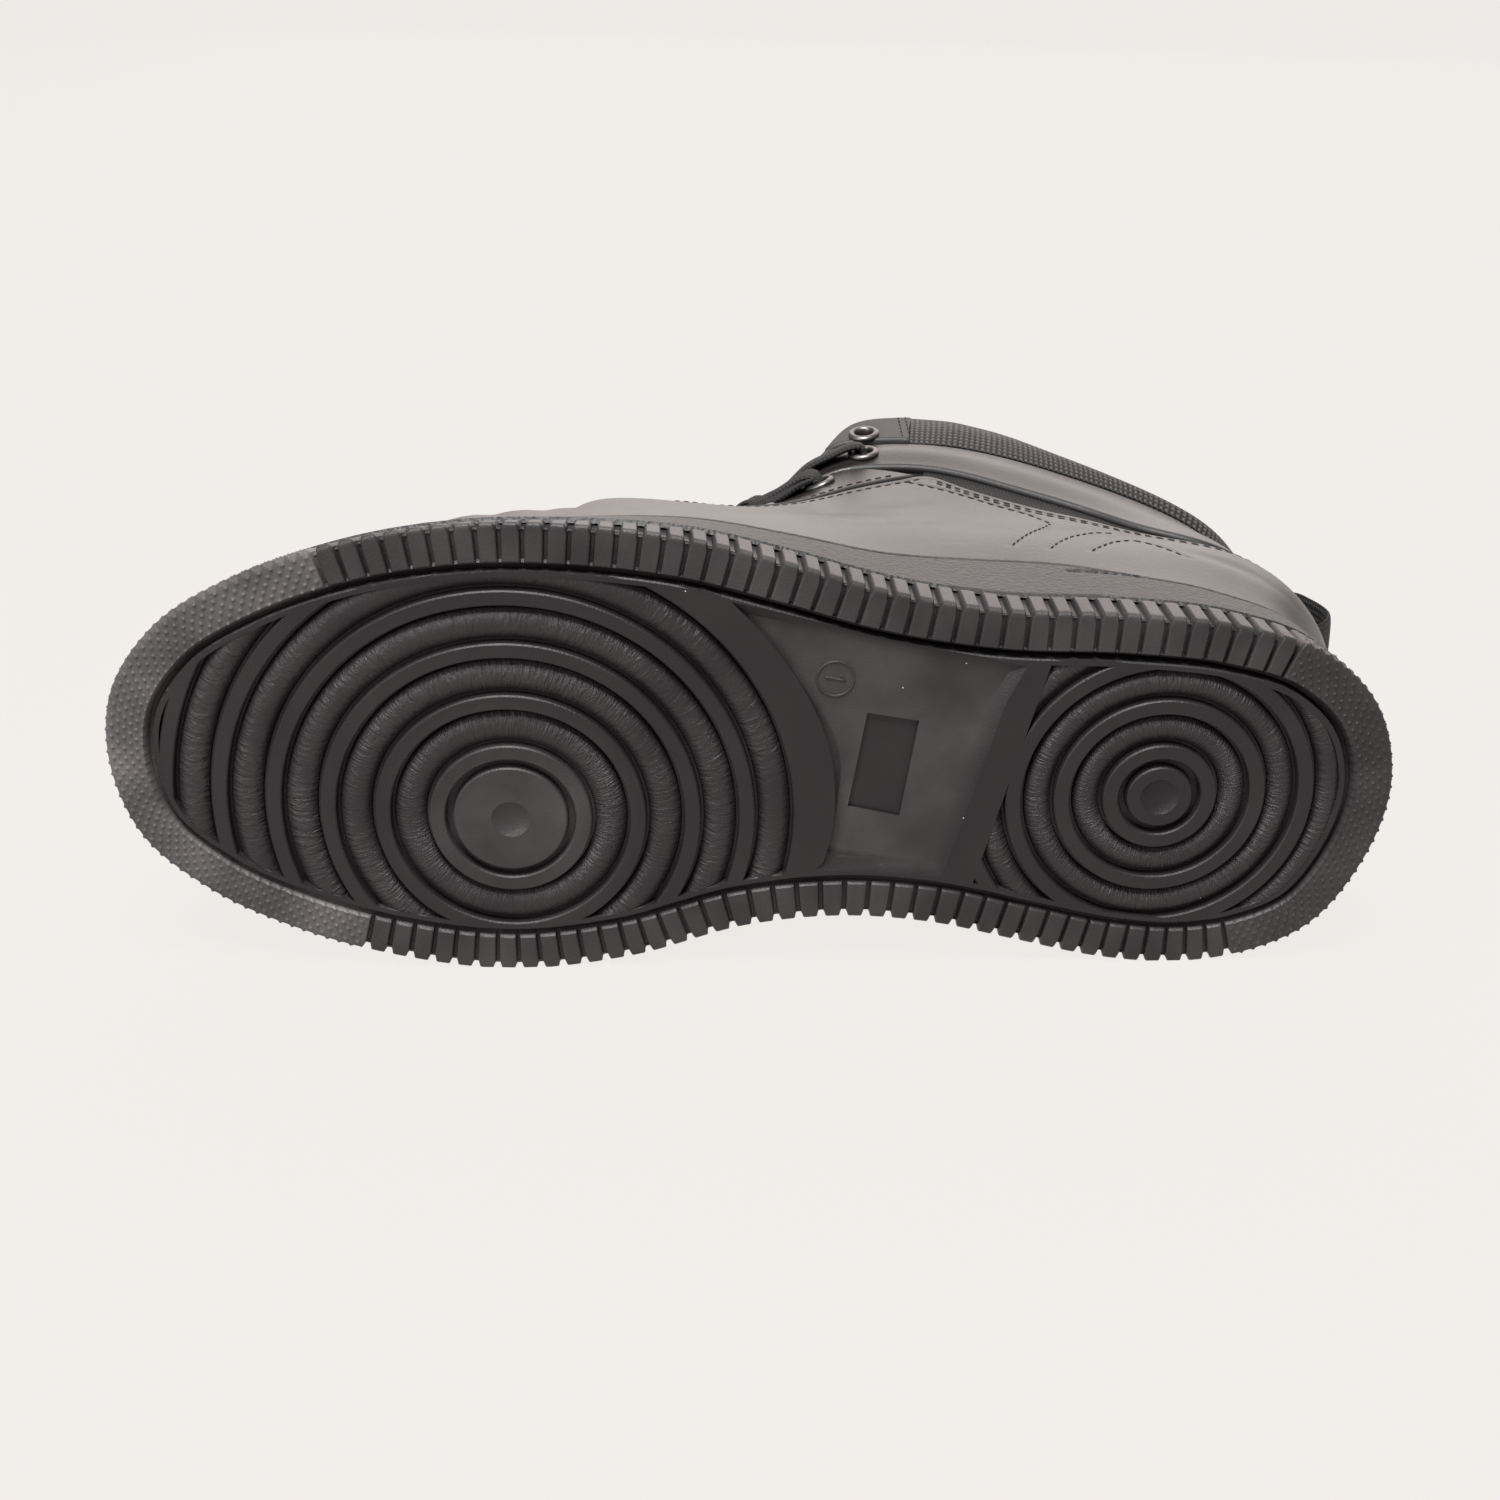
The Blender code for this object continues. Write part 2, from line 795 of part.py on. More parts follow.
def side_inset(distance, z):
    """Inward lean of the sole's side at a height."""
    point = edge_point(distance)
    share = math.acos(min(max(1.0 - 2.0 * point.x / SOLE_LENGTH, -1.0), 1.0)) / math.pi
    middle = 0.5 * (edge_point(distance_at_x(point.x, True)).y + edge_point(distance_at_x(point.x, False)).y)
    s = share if point.y > middle else 2.0 - share
    return cup_lean(s) * z / cup_top(s)


def make_rim(collection):
    shape = bmesh.new()
    stations = rib_stations()
    inner = []
    bottom = []
    top = []
    for distance, groove in stations:
        cut = RIB_DEPTH if groove else 0.0
        lean = side_inset(distance, RIM_HEIGHT)
        p = edge_point(distance, RIM_WIDTH)
        inner.append((p.x, p.y, cut))
        p = edge_point(distance, RIM_ROUND + cut)
        bottom.append((p.x, p.y, cut))
        p = edge_point(distance, lean + cut * 0.8)
        top.append((p.x, p.y, RIM_HEIGHT))
    foot = []
    for distance, groove in stations[::4]:
        p = edge_point(distance, RIM_WIDTH + 0.55 * RIM_GROOVE)
        foot.append((p.x, p.y, TREAD_DEPTH))
    inner, bottom, top, foot = (add_loop(shape, row) for row in (inner, bottom, top, foot))
    shape.faces.new(foot)
    join_coarse(shape, inner, foot, 4)
    join_loops(shape, inner, bottom)
    join_loops(shape, bottom, top)
    shape.faces.new(top)
    return add_object("outsole", shape, collection)


def make_outsole(parts, tools, material, root):
    panel_inset = RIM_WIDTH + RIM_GROOVE
    plate = prism("plate", edge_loop(panel_inset, 0.010), 0.0, TREAD_DEPTH + 0.001, "Z", tools)
    land = edge_loop(panel_inset + TREAD_LAND, 0.010)
    front_radius = FOREFOOT_DISC + 1.1 * RIM_GROOVE + 4 * FOREFOOT_PITCH + 0.0008
    front = [
        p for p in land
        if p.x > FOREFOOT_CENTRE[0] or (p - Vector(FOREFOOT_CENTRE)).length < front_radius
    ]
    start = max(range(len(front)), key=lambda k: (front[k] - front[k - 1]).length)
    front = front[start:] + front[:start]
    angles = [math.atan2(p.y - FOREFOOT_CENTRE[1], p.x - FOREFOOT_CENTRE[0]) for p in (front[-1], front[0])]
    turn = (angles[1] - angles[0]) % (2 * math.pi)
    arc = [
        Vector((
            FOREFOOT_CENTRE[0] + front_radius * math.cos(angles[0] + turn * k / 9),
            FOREFOOT_CENTRE[1] + front_radius * math.sin(angles[0] + turn * k / 9),
        ))
        for k in range(1, 9)
    ]
    rings = turned("rings", ring_bands(FOREFOOT_DISC, FOREFOOT_PITCH, 6), FOREFOOT_CENTRE, 26, tools)
    boolean(rings, prism("clip", front + arc, -0.002, 0.004, "Z", tools), "INTERSECT")
    boolean(plate, rings, "DIFFERENCE")
    back_line = [arch_back(0.0), arch_back(1.0)]
    across = (back_line[1] - back_line[0]).normalized()
    normal = Vector((across.y, -across.x))
    if normal.x > 0:
        normal = -normal
    limit = back_line[0] + normal * (ARCH_BEVEL + 0.0005)
    rear = [p for p in land if (p - limit).dot(normal) > 0.0]
    rings = turned("rings", ring_bands(HEEL_DISC, HEEL_PITCH, 4), HEEL_CENTRE, 20, tools)
    boolean(rings, prism("clip", rear, -0.002, 0.004, "Z", tools), "INTERSECT")
    boolean(plate, rings, "DIFFERENCE")
    arch = [inside_panel(arch_side(k / 6), panel_inset + 0.002) for k in range(7)]
    arch += [inside_panel(arch_back(k / 2), panel_inset + 0.002) for k in range(3)]
    middle = sum(arch, Vector((0.0, 0.0))) / len(arch)
    shape = bmesh.new()
    deep = []
    for p in arch:
        inward = (middle - p)
        deep.append(p + inward.normalized() * min(ARCH_BEVEL, inward.length * 0.4))
    loops = [
        add_loop(shape, [(p.x, p.y, -0.001) for p in arch]),
        add_loop(shape, [(p.x, p.y, 0.0001) for p in arch]),
        add_loop(shape, [(p.x, p.y, ARCH_DEPTH) for p in deep]),
    ]
    join_loops(shape, loops[0], loops[1])
    join_loops(shape, loops[1], loops[2])
    shape.faces.new(loops[0])
    shape.faces.new(loops[2])
    boolean(plate, add_object("arch", shape, tools), "DIFFERENCE")
    for centre in (FOREFOOT_CENTRE, HEEL_CENTRE):
        shape = bmesh.new()
        spot = Matrix.Translation((centre[0], centre[1], DIMPLE_DEPTH * 0.5 - 0.0002))
        bmesh.ops.create_cone(
            shape, cap_ends=True, segments=10, radius1=DIMPLE_RADIUS, radius2=DIMPLE_RADIUS * 0.3,
            depth=DIMPLE_DEPTH, matrix=spot,
        )
        boolean(plate, add_object("dimple", shape, tools), "DIFFERENCE")
    merge_flat(plate)
    rim = make_rim(tools)
    boolean(rim, plate, "UNION")
    merge_flat(rim)
    shape = bmesh.new()
    shape.from_mesh(rim.data)
    bpy.data.objects.remove(rim, do_unlink=True)
    for place in COLUMNS:
        x = SOLE_LENGTH * (1.0 - math.cos(math.pi * place)) / 2.0
        if 0.75 * SOLE_LENGTH < x < 0.97 * SOLE_LENGTH:
            bmesh.ops.bisect_plane(
                shape, geom=shape.verts[:] + shape.edges[:] + shape.faces[:], dist=0.00001,
                plane_co=(x, 0.0, 0.0), plane_no=(1.0, 0.0, 0.0),
            )
    bmesh.ops.triangulate(shape, faces=shape.faces)
    for vert in shape.verts:
        vert.co.z += spring_at(vert.co.x)
    return add_object("outsole", shape, parts, material, root)


def make_midsole(parts, material, root):
    shape = bmesh.new()
    places = loop_places()

    def row(inset, height):
        points = []
        for s in places:
            p = column_edge(s, inset(s))
            points.append((p.x, p.y, height(s, p) + spring_at(p.x)))
        return add_loop(shape, points)

    def lean(share):
        return lambda s: cup_lean(s) * share

    base = RIM_HEIGHT + GAP
    rows = [
        row(lambda s: cup_lean(s) * base / cup_top(s) + CUP_FOOT_BEVEL, lambda s, p: base),
        row(lambda s: cup_lean(s) * base / cup_top(s), lambda s, p: base + CUP_FOOT_HEIGHT),
        row(lean(CUP_BULGE[0]), lambda s, p: base + (cup_top(s) - base) * CUP_BULGE[1]),
        row(lean(1.0), lambda s, p: cup_top(s) - CUP_LIP_ROUND),
        row(lambda s: cup_lean(s) + CUP_LIP_ROUND, lambda s, p: cup_top(s)),
        row(lambda s: cup_lean(s) + CUP_LIP, lambda s, p: cup_top(s) - GAP),
        row(lambda s: cup_lean(s) + CUP_LIP, lambda s, p: floor_height(p.x)),
    ]
    for k in range(len(rows) - 1):
        join_loops(shape, rows[k], rows[k + 1])
    close_across(shape, rows[0])
    close_across(shape, rows[-1])
    return add_object("midsole", shape, parts, material, root)


def make_insole(parts, material, root):
    shape = bmesh.new()
    places = loop_places()
    loops = []
    for lift, extra in ((0.0, INSOLE_BEVEL), (INSOLE_THICKNESS, 0.0)):
        points = []
        for s in places:
            inset = cup_lean(s) + CUP_LIP + GAP + UPPER_WALL + 2.0 * GAP + extra + INSOLE_CLEARANCE
            p = column_edge(s, inset)
            points.append((p.x, p.y, floor_height(p.x) + GAP + lift + spring_at(p.x)))
        loops.append(add_loop(shape, points))
    join_loops(shape, loops[0], loops[1])
    close_across(shape, loops[0])
    close_across(shape, loops[1])
    return add_object("insole", shape, parts, material, root)


def shell(name, rows, inner, outer, collection, material=None, root=None):
    """Part of the upper's surface as a closed wall between two offsets."""
    shape = bmesh.new()
    places = loop_places()
    skins = []
    for out in (outer, inner):
        skins.append([add_loop(shape, [upper_surface(s, v, out) for s in places]) for v in rows])
    for skin in skins:
        for k in range(len(rows) - 1):
            join_loops(shape, skin[k], skin[k + 1])
    join_loops(shape, skins[0][0], skins[1][0])
    join_loops(shape, skins[0][-1], skins[1][-1])
    return add_object(name, shape, collection, material, root)


def panel(name, outline, side, parts, tools, material, root):
    """Overlay cut from the upper's own surface by a side view outline."""
    rows = [v for v in ROWS if v > 0.13]
    item = shell(name, rows, GAP, GAP + PANEL_THICKNESS, parts, material, root)
    low, high = {
        "outer": (SEAM_GAP * 0.5, BALL_WIDTH),
        "inner": (-BALL_WIDTH, -SEAM_GAP * 0.5),
        "both": (-BALL_WIDTH, BALL_WIDTH),
    }[side]
    boolean(item, prism("cutter", outline, low, high, "Y", tools), "INTERSECT")
    return item


def eyelet_frame(x, z, outer):
    s, v = locate(x, z, outer)
    return upper_point(s, v), upper_normal(s, v)


def punch(item, holes, tools):
    """Cut the lace holes through a wall."""
    shape = bmesh.new()
    for place, normal in holes:
        turn = normal.to_track_quat("Z", "Y").to_matrix().to_4x4()
        bmesh.ops.create_cone(
            shape, cap_ends=True, segments=5, radius1=EYELET_HOLE * 1.12, radius2=EYELET_HOLE * 1.12,
            depth=0.016, matrix=Matrix.Translation(place) @ turn,
        )
    boolean(item, add_object("holes", shape, tools), "DIFFERENCE")


def seat_height(panels, place, normal):
    """Height over the upper at which a flat ring clears the panel under it."""
    highest = 0.0
    side = normal.orthogonal().normalized()
    other = normal.cross(side)
    for item in panels:
        mesh = item.data
        tree = BVHTree.FromPolygons([v.co for v in mesh.vertices], [p.vertices for p in mesh.polygons])
        for k in range(12):
            angle = math.pi * k / 6
            for radius in (EYELET_RADIUS, EYELET_RADIUS * 0.75):
                spot = place + (side * math.cos(angle) + other * math.sin(angle)) * radius
                hit = tree.ray_cast(spot + normal * 0.01, -normal, 0.012)[0]
                if hit is not None:
                    highest = max(highest, (hit - place).dot(normal))
    return highest + GAP


def make_eyelet(name, place, normal, base, parts, material, root):
    """Flanged metal ring seated over its hole."""
    shape = bmesh.new()
    profile = (
        (EYELET_HOLE * 0.9, base),
        (EYELET_RADIUS, base),
        (EYELET_RADIUS * 0.93, base + EYELET_HEIGHT * 0.7),
        (EYELET_HOLE * 1.15, base + EYELET_HEIGHT),
    )
    turn = Matrix.Translation(place) @ normal.to_track_quat("Z", "Y").to_matrix().to_4x4()
    segments = 8
    loops = []
    for radius, z in profile:
        loops.append(add_loop(shape, [
            turn @ Vector((
                radius * math.cos(2 * math.pi * k / segments),
                radius * math.sin(2 * math.pi * k / segments),
                z,
            ))
            for k in range(segments)
        ]))
    for k in range(4):
        join_loops(shape, loops[k], loops[(k + 1) % 4])
    return add_object(name, shape, parts, material, root)


def make_collar(parts, material, root):
    """Padded collar that hugs the top edge from one flap round the heel to the other."""
    shape = bmesh.new()
    reach = [place for place in COLUMNS if place < COLLAR_END] + [COLLAR_END]
    places = [2.0 - place for place in reversed(reach[1:])] + reach
    wall = UPPER_WALL + GAP
    lining = [v for v in ROWS if 0.6 < v < 1.0]
    sections = []
    for s in places:
        low = level_at(s, MESH_SEAM, SEAM_GAP)
        mid = 0.5 * (low + 1.0)
        up = (upper_point(s, 1.0) - upper_point(s, 0.97)).normalized()

        def at(v, out, lift=0.0):
            return upper_surface(s, v, out) + up * lift

        section = [
            at(low, 2.0 * GAP),
            at(low, 2.0 * GAP + PANEL_THICKNESS),
            at(mid, 2.0 * GAP + COLLAR_ROLL),
            at(1.0, COLLAR_ROLL * 0.6, COLLAR_ROLL * 0.4),
            at(1.0, -wall * 0.5, COLLAR_ROLL),
            at(1.0, -wall - COLLAR_PAD * 0.8, GAP),
            at(lining[-1], -wall - COLLAR_PAD),
            at(lining[0], -wall - COLLAR_PAD * 0.35),
        ]
        section += [at(v, -wall - GAP) for v in lining]
        section += [at(1.0, -wall - GAP, GAP), at(1.0, 2.0 * GAP, GAP)]
        sections.append(add_loop(shape, section))
    for k in range(len(sections) - 1):
        join_loops(shape, sections[k], sections[k + 1])
    shape.faces.new(sections[0])
    shape.faces.new(sections[-1])
    return add_object("collar", shape, parts, material, root)


def bezier(a, b, c, share):
    return a.lerp(b, share).lerp(b.lerp(c, share), share)


def make_tongue(parts, material, root):
    """Padded sheet under both edges of the throat, standing above the collar's front."""
    shape = bmesh.new()
    inside = -(UPPER_WALL + TONGUE_CLEARANCE)
    across = 6
    frames = []
    for place, rise in TONGUE:
        a = upper_surface(place, TONGUE_LEVEL, inside)
        b = upper_surface(2.0 - place, TONGUE_LEVEL, inside)
        frames.append((a, b, rise * COLLAR_HEIGHT))
    rows = []
    count = len(frames)
    for k, (a, b, rise) in enumerate(frames):
        ahead = frames[min(k + 1, count - 1)]
        behind = frames[max(k - 1, 0)]
        along = ((behind[0] + behind[1]) - (ahead[0] + ahead[1])).normalized()
        side = (a - b).normalized()
        out = side.cross(along).normalized()
        if out.x < 0:
            out = -out
        rows.append((a, b, out, rise, along))
    a, b, out, rise, along = rows[0]
    lift = along * TONGUE_RISE
    pinch = (a - b) * 0.06
    rows.insert(0, (a + lift - pinch, b + lift + pinch, out, rise, along))
    loops = []
    for a, b, out, rise, along in rows:
        middle = (a + b) * 0.5 + out * rise
        upper = [bezier(a, middle, b, k / across) for k in range(across + 1)]
        lower = []
        for k, point in enumerate(upper):
            edge = min(k, across - k)
            lower.append(point - out * (TONGUE_THICKNESS if edge else TONGUE_THICKNESS * 0.45))
        loops.append(add_loop(shape, upper + lower[::-1]))
    for k in range(len(loops) - 1):
        join_loops(shape, loops[k], loops[k + 1])
    shape.faces.new(loops[0])
    shape.faces.new(loops[-1])
    return add_object("tongue", shape, parts, material, root)


def strap(shape, path, sides, width, thickness):
    """Flat strap along a path, with the direction of its width at each point."""
    loops = []
    for k, point in enumerate(path):
        along = (path[min(k + 1, len(path) - 1)] - path[max(k - 1, 0)]).normalized()
        side = (sides[k] - along * sides[k].dot(along)).normalized()
        out = along.cross(side).normalized()
        half = side * width * 0.5
        rise = out * thickness * 0.5
        loops.append(add_loop(shape, [
            point - half - rise, point + half - rise, point + half + rise, point - half + rise,
        ]))
    for k in range(len(loops) - 1):
        join_loops(shape, loops[k], loops[k + 1])
    shape.faces.new(loops[0])
    shape.faces.new(loops[-1])


def taut(points):
    """Upper hull of points in a plane, as a string pulled over them runs."""
    hull = []
    for point in points:
        while len(hull) > 1:
            a, b = hull[-2:]
            if (b - a).cross(point - a) < 0.0:
                break
            hull.pop()
        hull.append(point)
    return hull


def lay_over(trees, start, end, out, width, samples):
    """Points from start to end, pulled tight over whatever stands between them."""
    chord = end - start
    side = out.cross(chord).normalized()
    along = side.cross(out).normalized()
    rise = [Vector((0.0, 0.0)), Vector((chord.dot(along), chord.dot(out)))]
    heights = []
    for k in range(samples + 1):
        reach = rise[1].x * k / samples
        height = rise[1].y * k / samples
        for share in (-0.5, -0.35, -0.18, 0.0, 0.18, 0.35, 0.5):
            spot = start + along * reach + side * width * share
            for tree in trees:
                hit = tree.ray_cast(spot + out * 0.06, -out, 0.08)[0]
                if hit is not None:
                    height = max(height, (hit - start).dot(out))
        heights.append(Vector((reach, height)))
    hull = taut(heights)
    kept = [hull[0]]
    for point in hull[1:-1]:
        if min((point - kept[-1]).length, (hull[-1] - point).length) > LACE_WIDTH * 0.3:
            kept.append(point)
    kept.append(hull[-1])
    lifted = []
    lift = 3.5 * GAP + LACE_THICKNESS * 0.5
    for k, point in enumerate(kept):
        before = (point - kept[max(k - 1, 0)]) if k else (kept[1] - point)
        after = (kept[k + 1] - point) if k < len(kept) - 1 else before
        across = (before.normalized() + after.normalized()).normalized()
        across = Vector((-across.y, across.x))
        turn = math.sqrt(max(0.25, 0.5 + 0.5 * before.normalized().dot(after.normalized())))
        lifted.append(point + across * lift / turn)
    return [start + along * point.x + out * point.y for point in lifted], side


def make_laces(frames, under, parts, tools, material, root):
    """Crossings over the tongue from the second eyelets down, joined where they cross."""
    trees = []
    for item in under:
        mesh = item.data
        trees.append(BVHTree.FromPolygons([v.co for v in mesh.vertices], [p.vertices for p in mesh.polygons]))
    whole = None
    pairs = []
    for k in range(1, len(frames) - 1):
        pairs.append(((k, 0), (k + 1, 1)))
        pairs.append(((k, 1), (k + 1, 0)))
    pairs.append(((len(frames) - 1, 0), (len(frames) - 1, 1)))
    for start, end in pairs:
        (a, normal_a), (b, normal_b) = (frames[row][side] for row, side in (start, end))
        out = (normal_a + normal_b).normalized()
        beyond = (b - a).normalized() * EYELET_HOLE * 0.7
        path, side = lay_over(trees, a - beyond, b + beyond, out, LACE_WIDTH + 4.0 * GAP, 40)
        shape = bmesh.new()
        strap(shape, path, [side] * len(path), LACE_WIDTH, LACE_THICKNESS)
        item = add_object("laces", shape, parts if whole is None else tools)
        if whole is None:
            whole = item
        else:
            boolean(whole, item, "UNION")
    merge_flat(whole)
    whole.data.materials.clear()
    whole.data.materials.append(material)
    whole.parent = root
    return whole


def make_loop(parts, material, root):
    """Webbing loop at the back of the heel."""
    shape = bmesh.new()
    out = 2.0 * GAP + PANEL_THICKNESS + LOOP_THICKNESS * 0.5 + GAP
    top = level_at(0.0, MESH_SEAM, -0.004)
    low = level_at(0.0, BAND_SEAM, 0.003)
    upper_end = upper_surface(0.0, top, out)
    lower_end = upper_surface(0.0, low, out)
    away = Vector((-1.0, 0.0, 0.0))
    rise = upper_end.z - lower_end.z
    path = [
        upper_end + Vector((0.0, 0.0, -0.10 * rise)),
        upper_end,
        upper_end + away * LOOP_REACH * 0.45 + Vector((0.0, 0.0, 0.10 * rise)),
        upper_end + away * LOOP_REACH * 0.85 + Vector((0.0, 0.0, 0.04 * rise)),
        upper_end + away * LOOP_REACH * 1.05 + Vector((0.0, 0.0, -0.14 * rise)),
        lower_end + away * LOOP_REACH * 0.95 + Vector((0.0, 0.0, 0.34 * rise)),
        lower_end + away * LOOP_REACH * 0.62 + Vector((0.0, 0.0, 0.10 * rise)),
        lower_end + away * LOOP_REACH * 0.20,
        lower_end + Vector((0.0, 0.0, 0.12 * rise)),
    ]
    path = path[1:-1]
    sides = [Vector((0.0, 1.0, 0.0))] * len(path)
    strap(shape, path, sides, LOOP_WIDTH, LOOP_THICKNESS)
    return add_object("pull_loop", shape, parts, material, root)


def lay_on_side(root, items):
    """Turn the shoe on its inner side so that sole edge and upper both touch the floor."""
    turn = Matrix(((-1, 0, 0, 0), (0, 0, 1, 0), (0, 1, 0, 0), (0, 0, 0, 1)))
    cloud = bmesh.new()
    weight = 0.0
    centre = Vector((0.0, 0.0, 0.0))
    for item in items:
        mesh = item.data
        points = [turn @ vert.co for vert in mesh.vertices]
        for point in points:
            cloud.verts.new(point)
        mesh.calc_loop_triangles()
        for face in mesh.loop_triangles:
            a, b, c = (points[k] for k in face.vertices)
            volume = a.dot(b.cross(c)) / 6.0
            weight += volume
            centre += volume * (a + b + c) / 4.0
    centre /= weight
    hull = bmesh.ops.convex_hull(cloud, input=cloud.verts)
    faces = [face for face in hull["geom"] if isinstance(face, bmesh.types.BMFace)]
    best = None
    for face in faces:
        corners = [vert.co.copy() for vert in face.verts]
        normal = (corners[1] - corners[0]).cross(corners[2] - corners[0])
        if normal.length < 1e-10:
            continue
        normal.normalize()
        if normal.dot(centre - corners[0]) > 0:
            normal = -normal
        if normal.z > -0.7:
            continue
        height = normal.dot(corners[0] - centre)
        foot = centre + normal * height
        signs = []
        for k in range(3):
            edge = corners[(k + 1) % 3] - corners[k]
            signs.append(edge.cross(foot - corners[k]).dot(normal))
        if all(sign >= 0 for sign in signs) or all(sign <= 0 for sign in signs):
            if best is None or height < best[0]:
                best = (height, normal)
    cloud.free()
    lean = best[1].rotation_difference(Vector((0.0, 0.0, -1.0))).to_matrix().to_4x4()
    place = lean @ turn
    points = [place @ vert.co for item in items for vert in item.data.vertices]
    low = [min(point[k] for point in points) for k in range(3)]
    high = [max(point[k] for point in points) for k in range(3)]
    shift = Matrix.Translation((-(low[0] + high[0]) / 2, -(low[1] + high[1]) / 2, -low[2]))
    root.matrix_world = shift @ place


def main():
    clear_scene()
    scene = bpy.context.scene
    parts = bpy.data.collections.new("high_top_sneaker")
    tools = bpy.data.collections.new("cutters")
    scene.collection.children.link(parts)
    scene.collection.children.link(tools)
    root = bpy.data.objects.new("shoe", None)
    parts.objects.link(root)
    colours = {name: make_material(name) for name in MATERIALS}

    frames = []
    holes = []
    for x, z in EYELETS:
        pair = [eyelet_frame(x * SOLE_LENGTH, z * COLLAR_HEIGHT, outer) for outer in (True, False)]
        frames.append(pair)
        holes.extend(pair)

    items = [
        make_outsole(parts, tools, colours["sole_rubber"], root),
        make_midsole(parts, colours["cup_rubber"], root),
        make_insole(parts, colours["lining"], root),
    ]
    upper = shell("upper", ROWS, -UPPER_WALL, 0.0, parts, colours["leather"], root)
    punch(upper, holes, tools)
    items.append(upper)

    quarter = seam_line(QUARTER_SEAM, 14) + seam_line(QUARTER_FRONT, 12)[1:]
    quarter += [Vector((-0.05 * SOLE_LENGTH, 0.13 * COLLAR_HEIGHT))]
    items.append(panel("quarter_lateral", quarter, "outer", parts, tools, colours["leather"], root))
    items.append(panel("quarter_medial", quarter, "inner", parts, tools, colours["leather"], root))
    band = seam_line(BAND_SEAM, 14) + seam_line(MESH_SEAM, 16, -2.0 * SEAM_GAP)[::-1]
    ankle_band = panel("ankle_band", band, "both", parts, tools, colours["leather"], root)
    punch(ankle_band, holes[2:4], tools)
    items.append(ankle_band)
    stay = seam_line(EYESTAY_EDGE, 20)
    stay += [Vector((x * SOLE_LENGTH, z * COLLAR_HEIGHT)) for x, z in EYESTAY_TOP]
    eyestay = panel("eyestay", stay, "both", parts, tools, colours["leather"], root)
    punch(eyestay, holes[4:], tools)
    items.append(eyestay)
    panels = [ankle_band, eyestay]
    for name, side, spot in (("flap_lateral", "outer", 0), ("flap_medial", "inner", 1)):
        start = FLAP_START * SOLE_LENGTH
        flap = [Vector((start, 1.1 * COLLAR_HEIGHT))]
        flap += [p for p in seam_line(MESH_SEAM, 24) if p.x > start]
        flap.insert(1, Vector((start, seam_height(MESH_SEAM, start))))
        flap.append(Vector((flap[-1].x, 1.1 * COLLAR_HEIGHT)))
        item = panel(name, flap, side, parts, tools, colours["leather"], root)
        punch(item, holes[spot:spot + 1], tools)
        items.append(item)
        panels.append(item)

    items.append(make_collar(parts, colours["mesh"], root))
    items.append(make_tongue(parts, colours["lining"], root))
    seats = []
    for k, pair in enumerate(frames):
        seats.append([seat_height(panels, place, normal) for place, normal in pair])
        for side, (place, normal), base in zip(("lateral", "medial"), pair, seats[-1]):
            name = "eyelet_%s_%d" % (side, k + 1)
            items.append(make_eyelet(name, place, normal, base, parts, colours["eyelet_metal"], root))
    items.append(make_laces(frames, items[3:], parts, tools, colours["lace"], root))
    items.append(make_loop(parts, colours["webbing"], root))

    for item in items:
        merge_flat(item)
        item.data.shade_smooth()
        item.data.set_sharp_from_angle(angle=math.radians(35))
    lay_on_side(root, items)


main()
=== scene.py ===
import math

import bmesh
import bpy
import numpy as np
from mathutils import Matrix, Vector
from mathutils.bvhtree import BVHTree


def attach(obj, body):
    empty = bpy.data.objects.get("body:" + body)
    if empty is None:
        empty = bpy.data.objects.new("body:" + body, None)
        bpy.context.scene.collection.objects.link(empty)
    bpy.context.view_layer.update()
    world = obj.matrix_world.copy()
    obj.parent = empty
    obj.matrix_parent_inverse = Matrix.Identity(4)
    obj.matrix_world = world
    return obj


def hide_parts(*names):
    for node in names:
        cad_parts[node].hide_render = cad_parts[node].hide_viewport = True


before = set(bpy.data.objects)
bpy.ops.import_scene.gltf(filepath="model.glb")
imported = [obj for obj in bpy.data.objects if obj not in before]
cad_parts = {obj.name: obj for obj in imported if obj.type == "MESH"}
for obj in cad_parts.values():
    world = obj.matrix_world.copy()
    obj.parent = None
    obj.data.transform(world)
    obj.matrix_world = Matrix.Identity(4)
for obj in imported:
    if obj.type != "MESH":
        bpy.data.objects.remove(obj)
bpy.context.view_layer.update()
print("frame loaded")

# The shoe is built standing on its sole, heel at x = 0, toe along +x, outer side along +y,
# and then laid on its inner side where the frame has it.
shoe = {
    "length": 0.296,
    "ballWidth": 0.113,
    "heelWidth": 0.090,
    "collarHeight": 0.152,
    "toeSpring": 0.007,
    "cupHeight": 0.027,
    "cupInset": 0.008,
    "cupLip": 0.003,
    "forefootStack": 0.015,
    "heelStack": 0.020,
    "insole": 0.004,
    "wall": 0.002,
    "gap": 0.0003,
}
lying = {
    "lean": 1.6616,
    "tip": 0.0811,
    "shift": (0.142754, -0.076672, 0.045945),
}
# Points closer than this are joined: in sheets, and in the finer tools and turned pieces.
weld = 0.00001
fineWeld = 0.000002
turnOver = Matrix(((-1, 0, 0, 0), (0, 0, 1, 0), (0, 1, 0, 0), (0, 0, 0, 1)))
leanBack = Matrix.Rotation(math.radians(-lying["lean"]), 4, "Y")
tipOver = Matrix.Rotation(math.radians(lying["tip"]), 4, "X")
toWorld = Matrix.Translation(lying["shift"]) @ (leanBack @ tipOver) @ turnOver

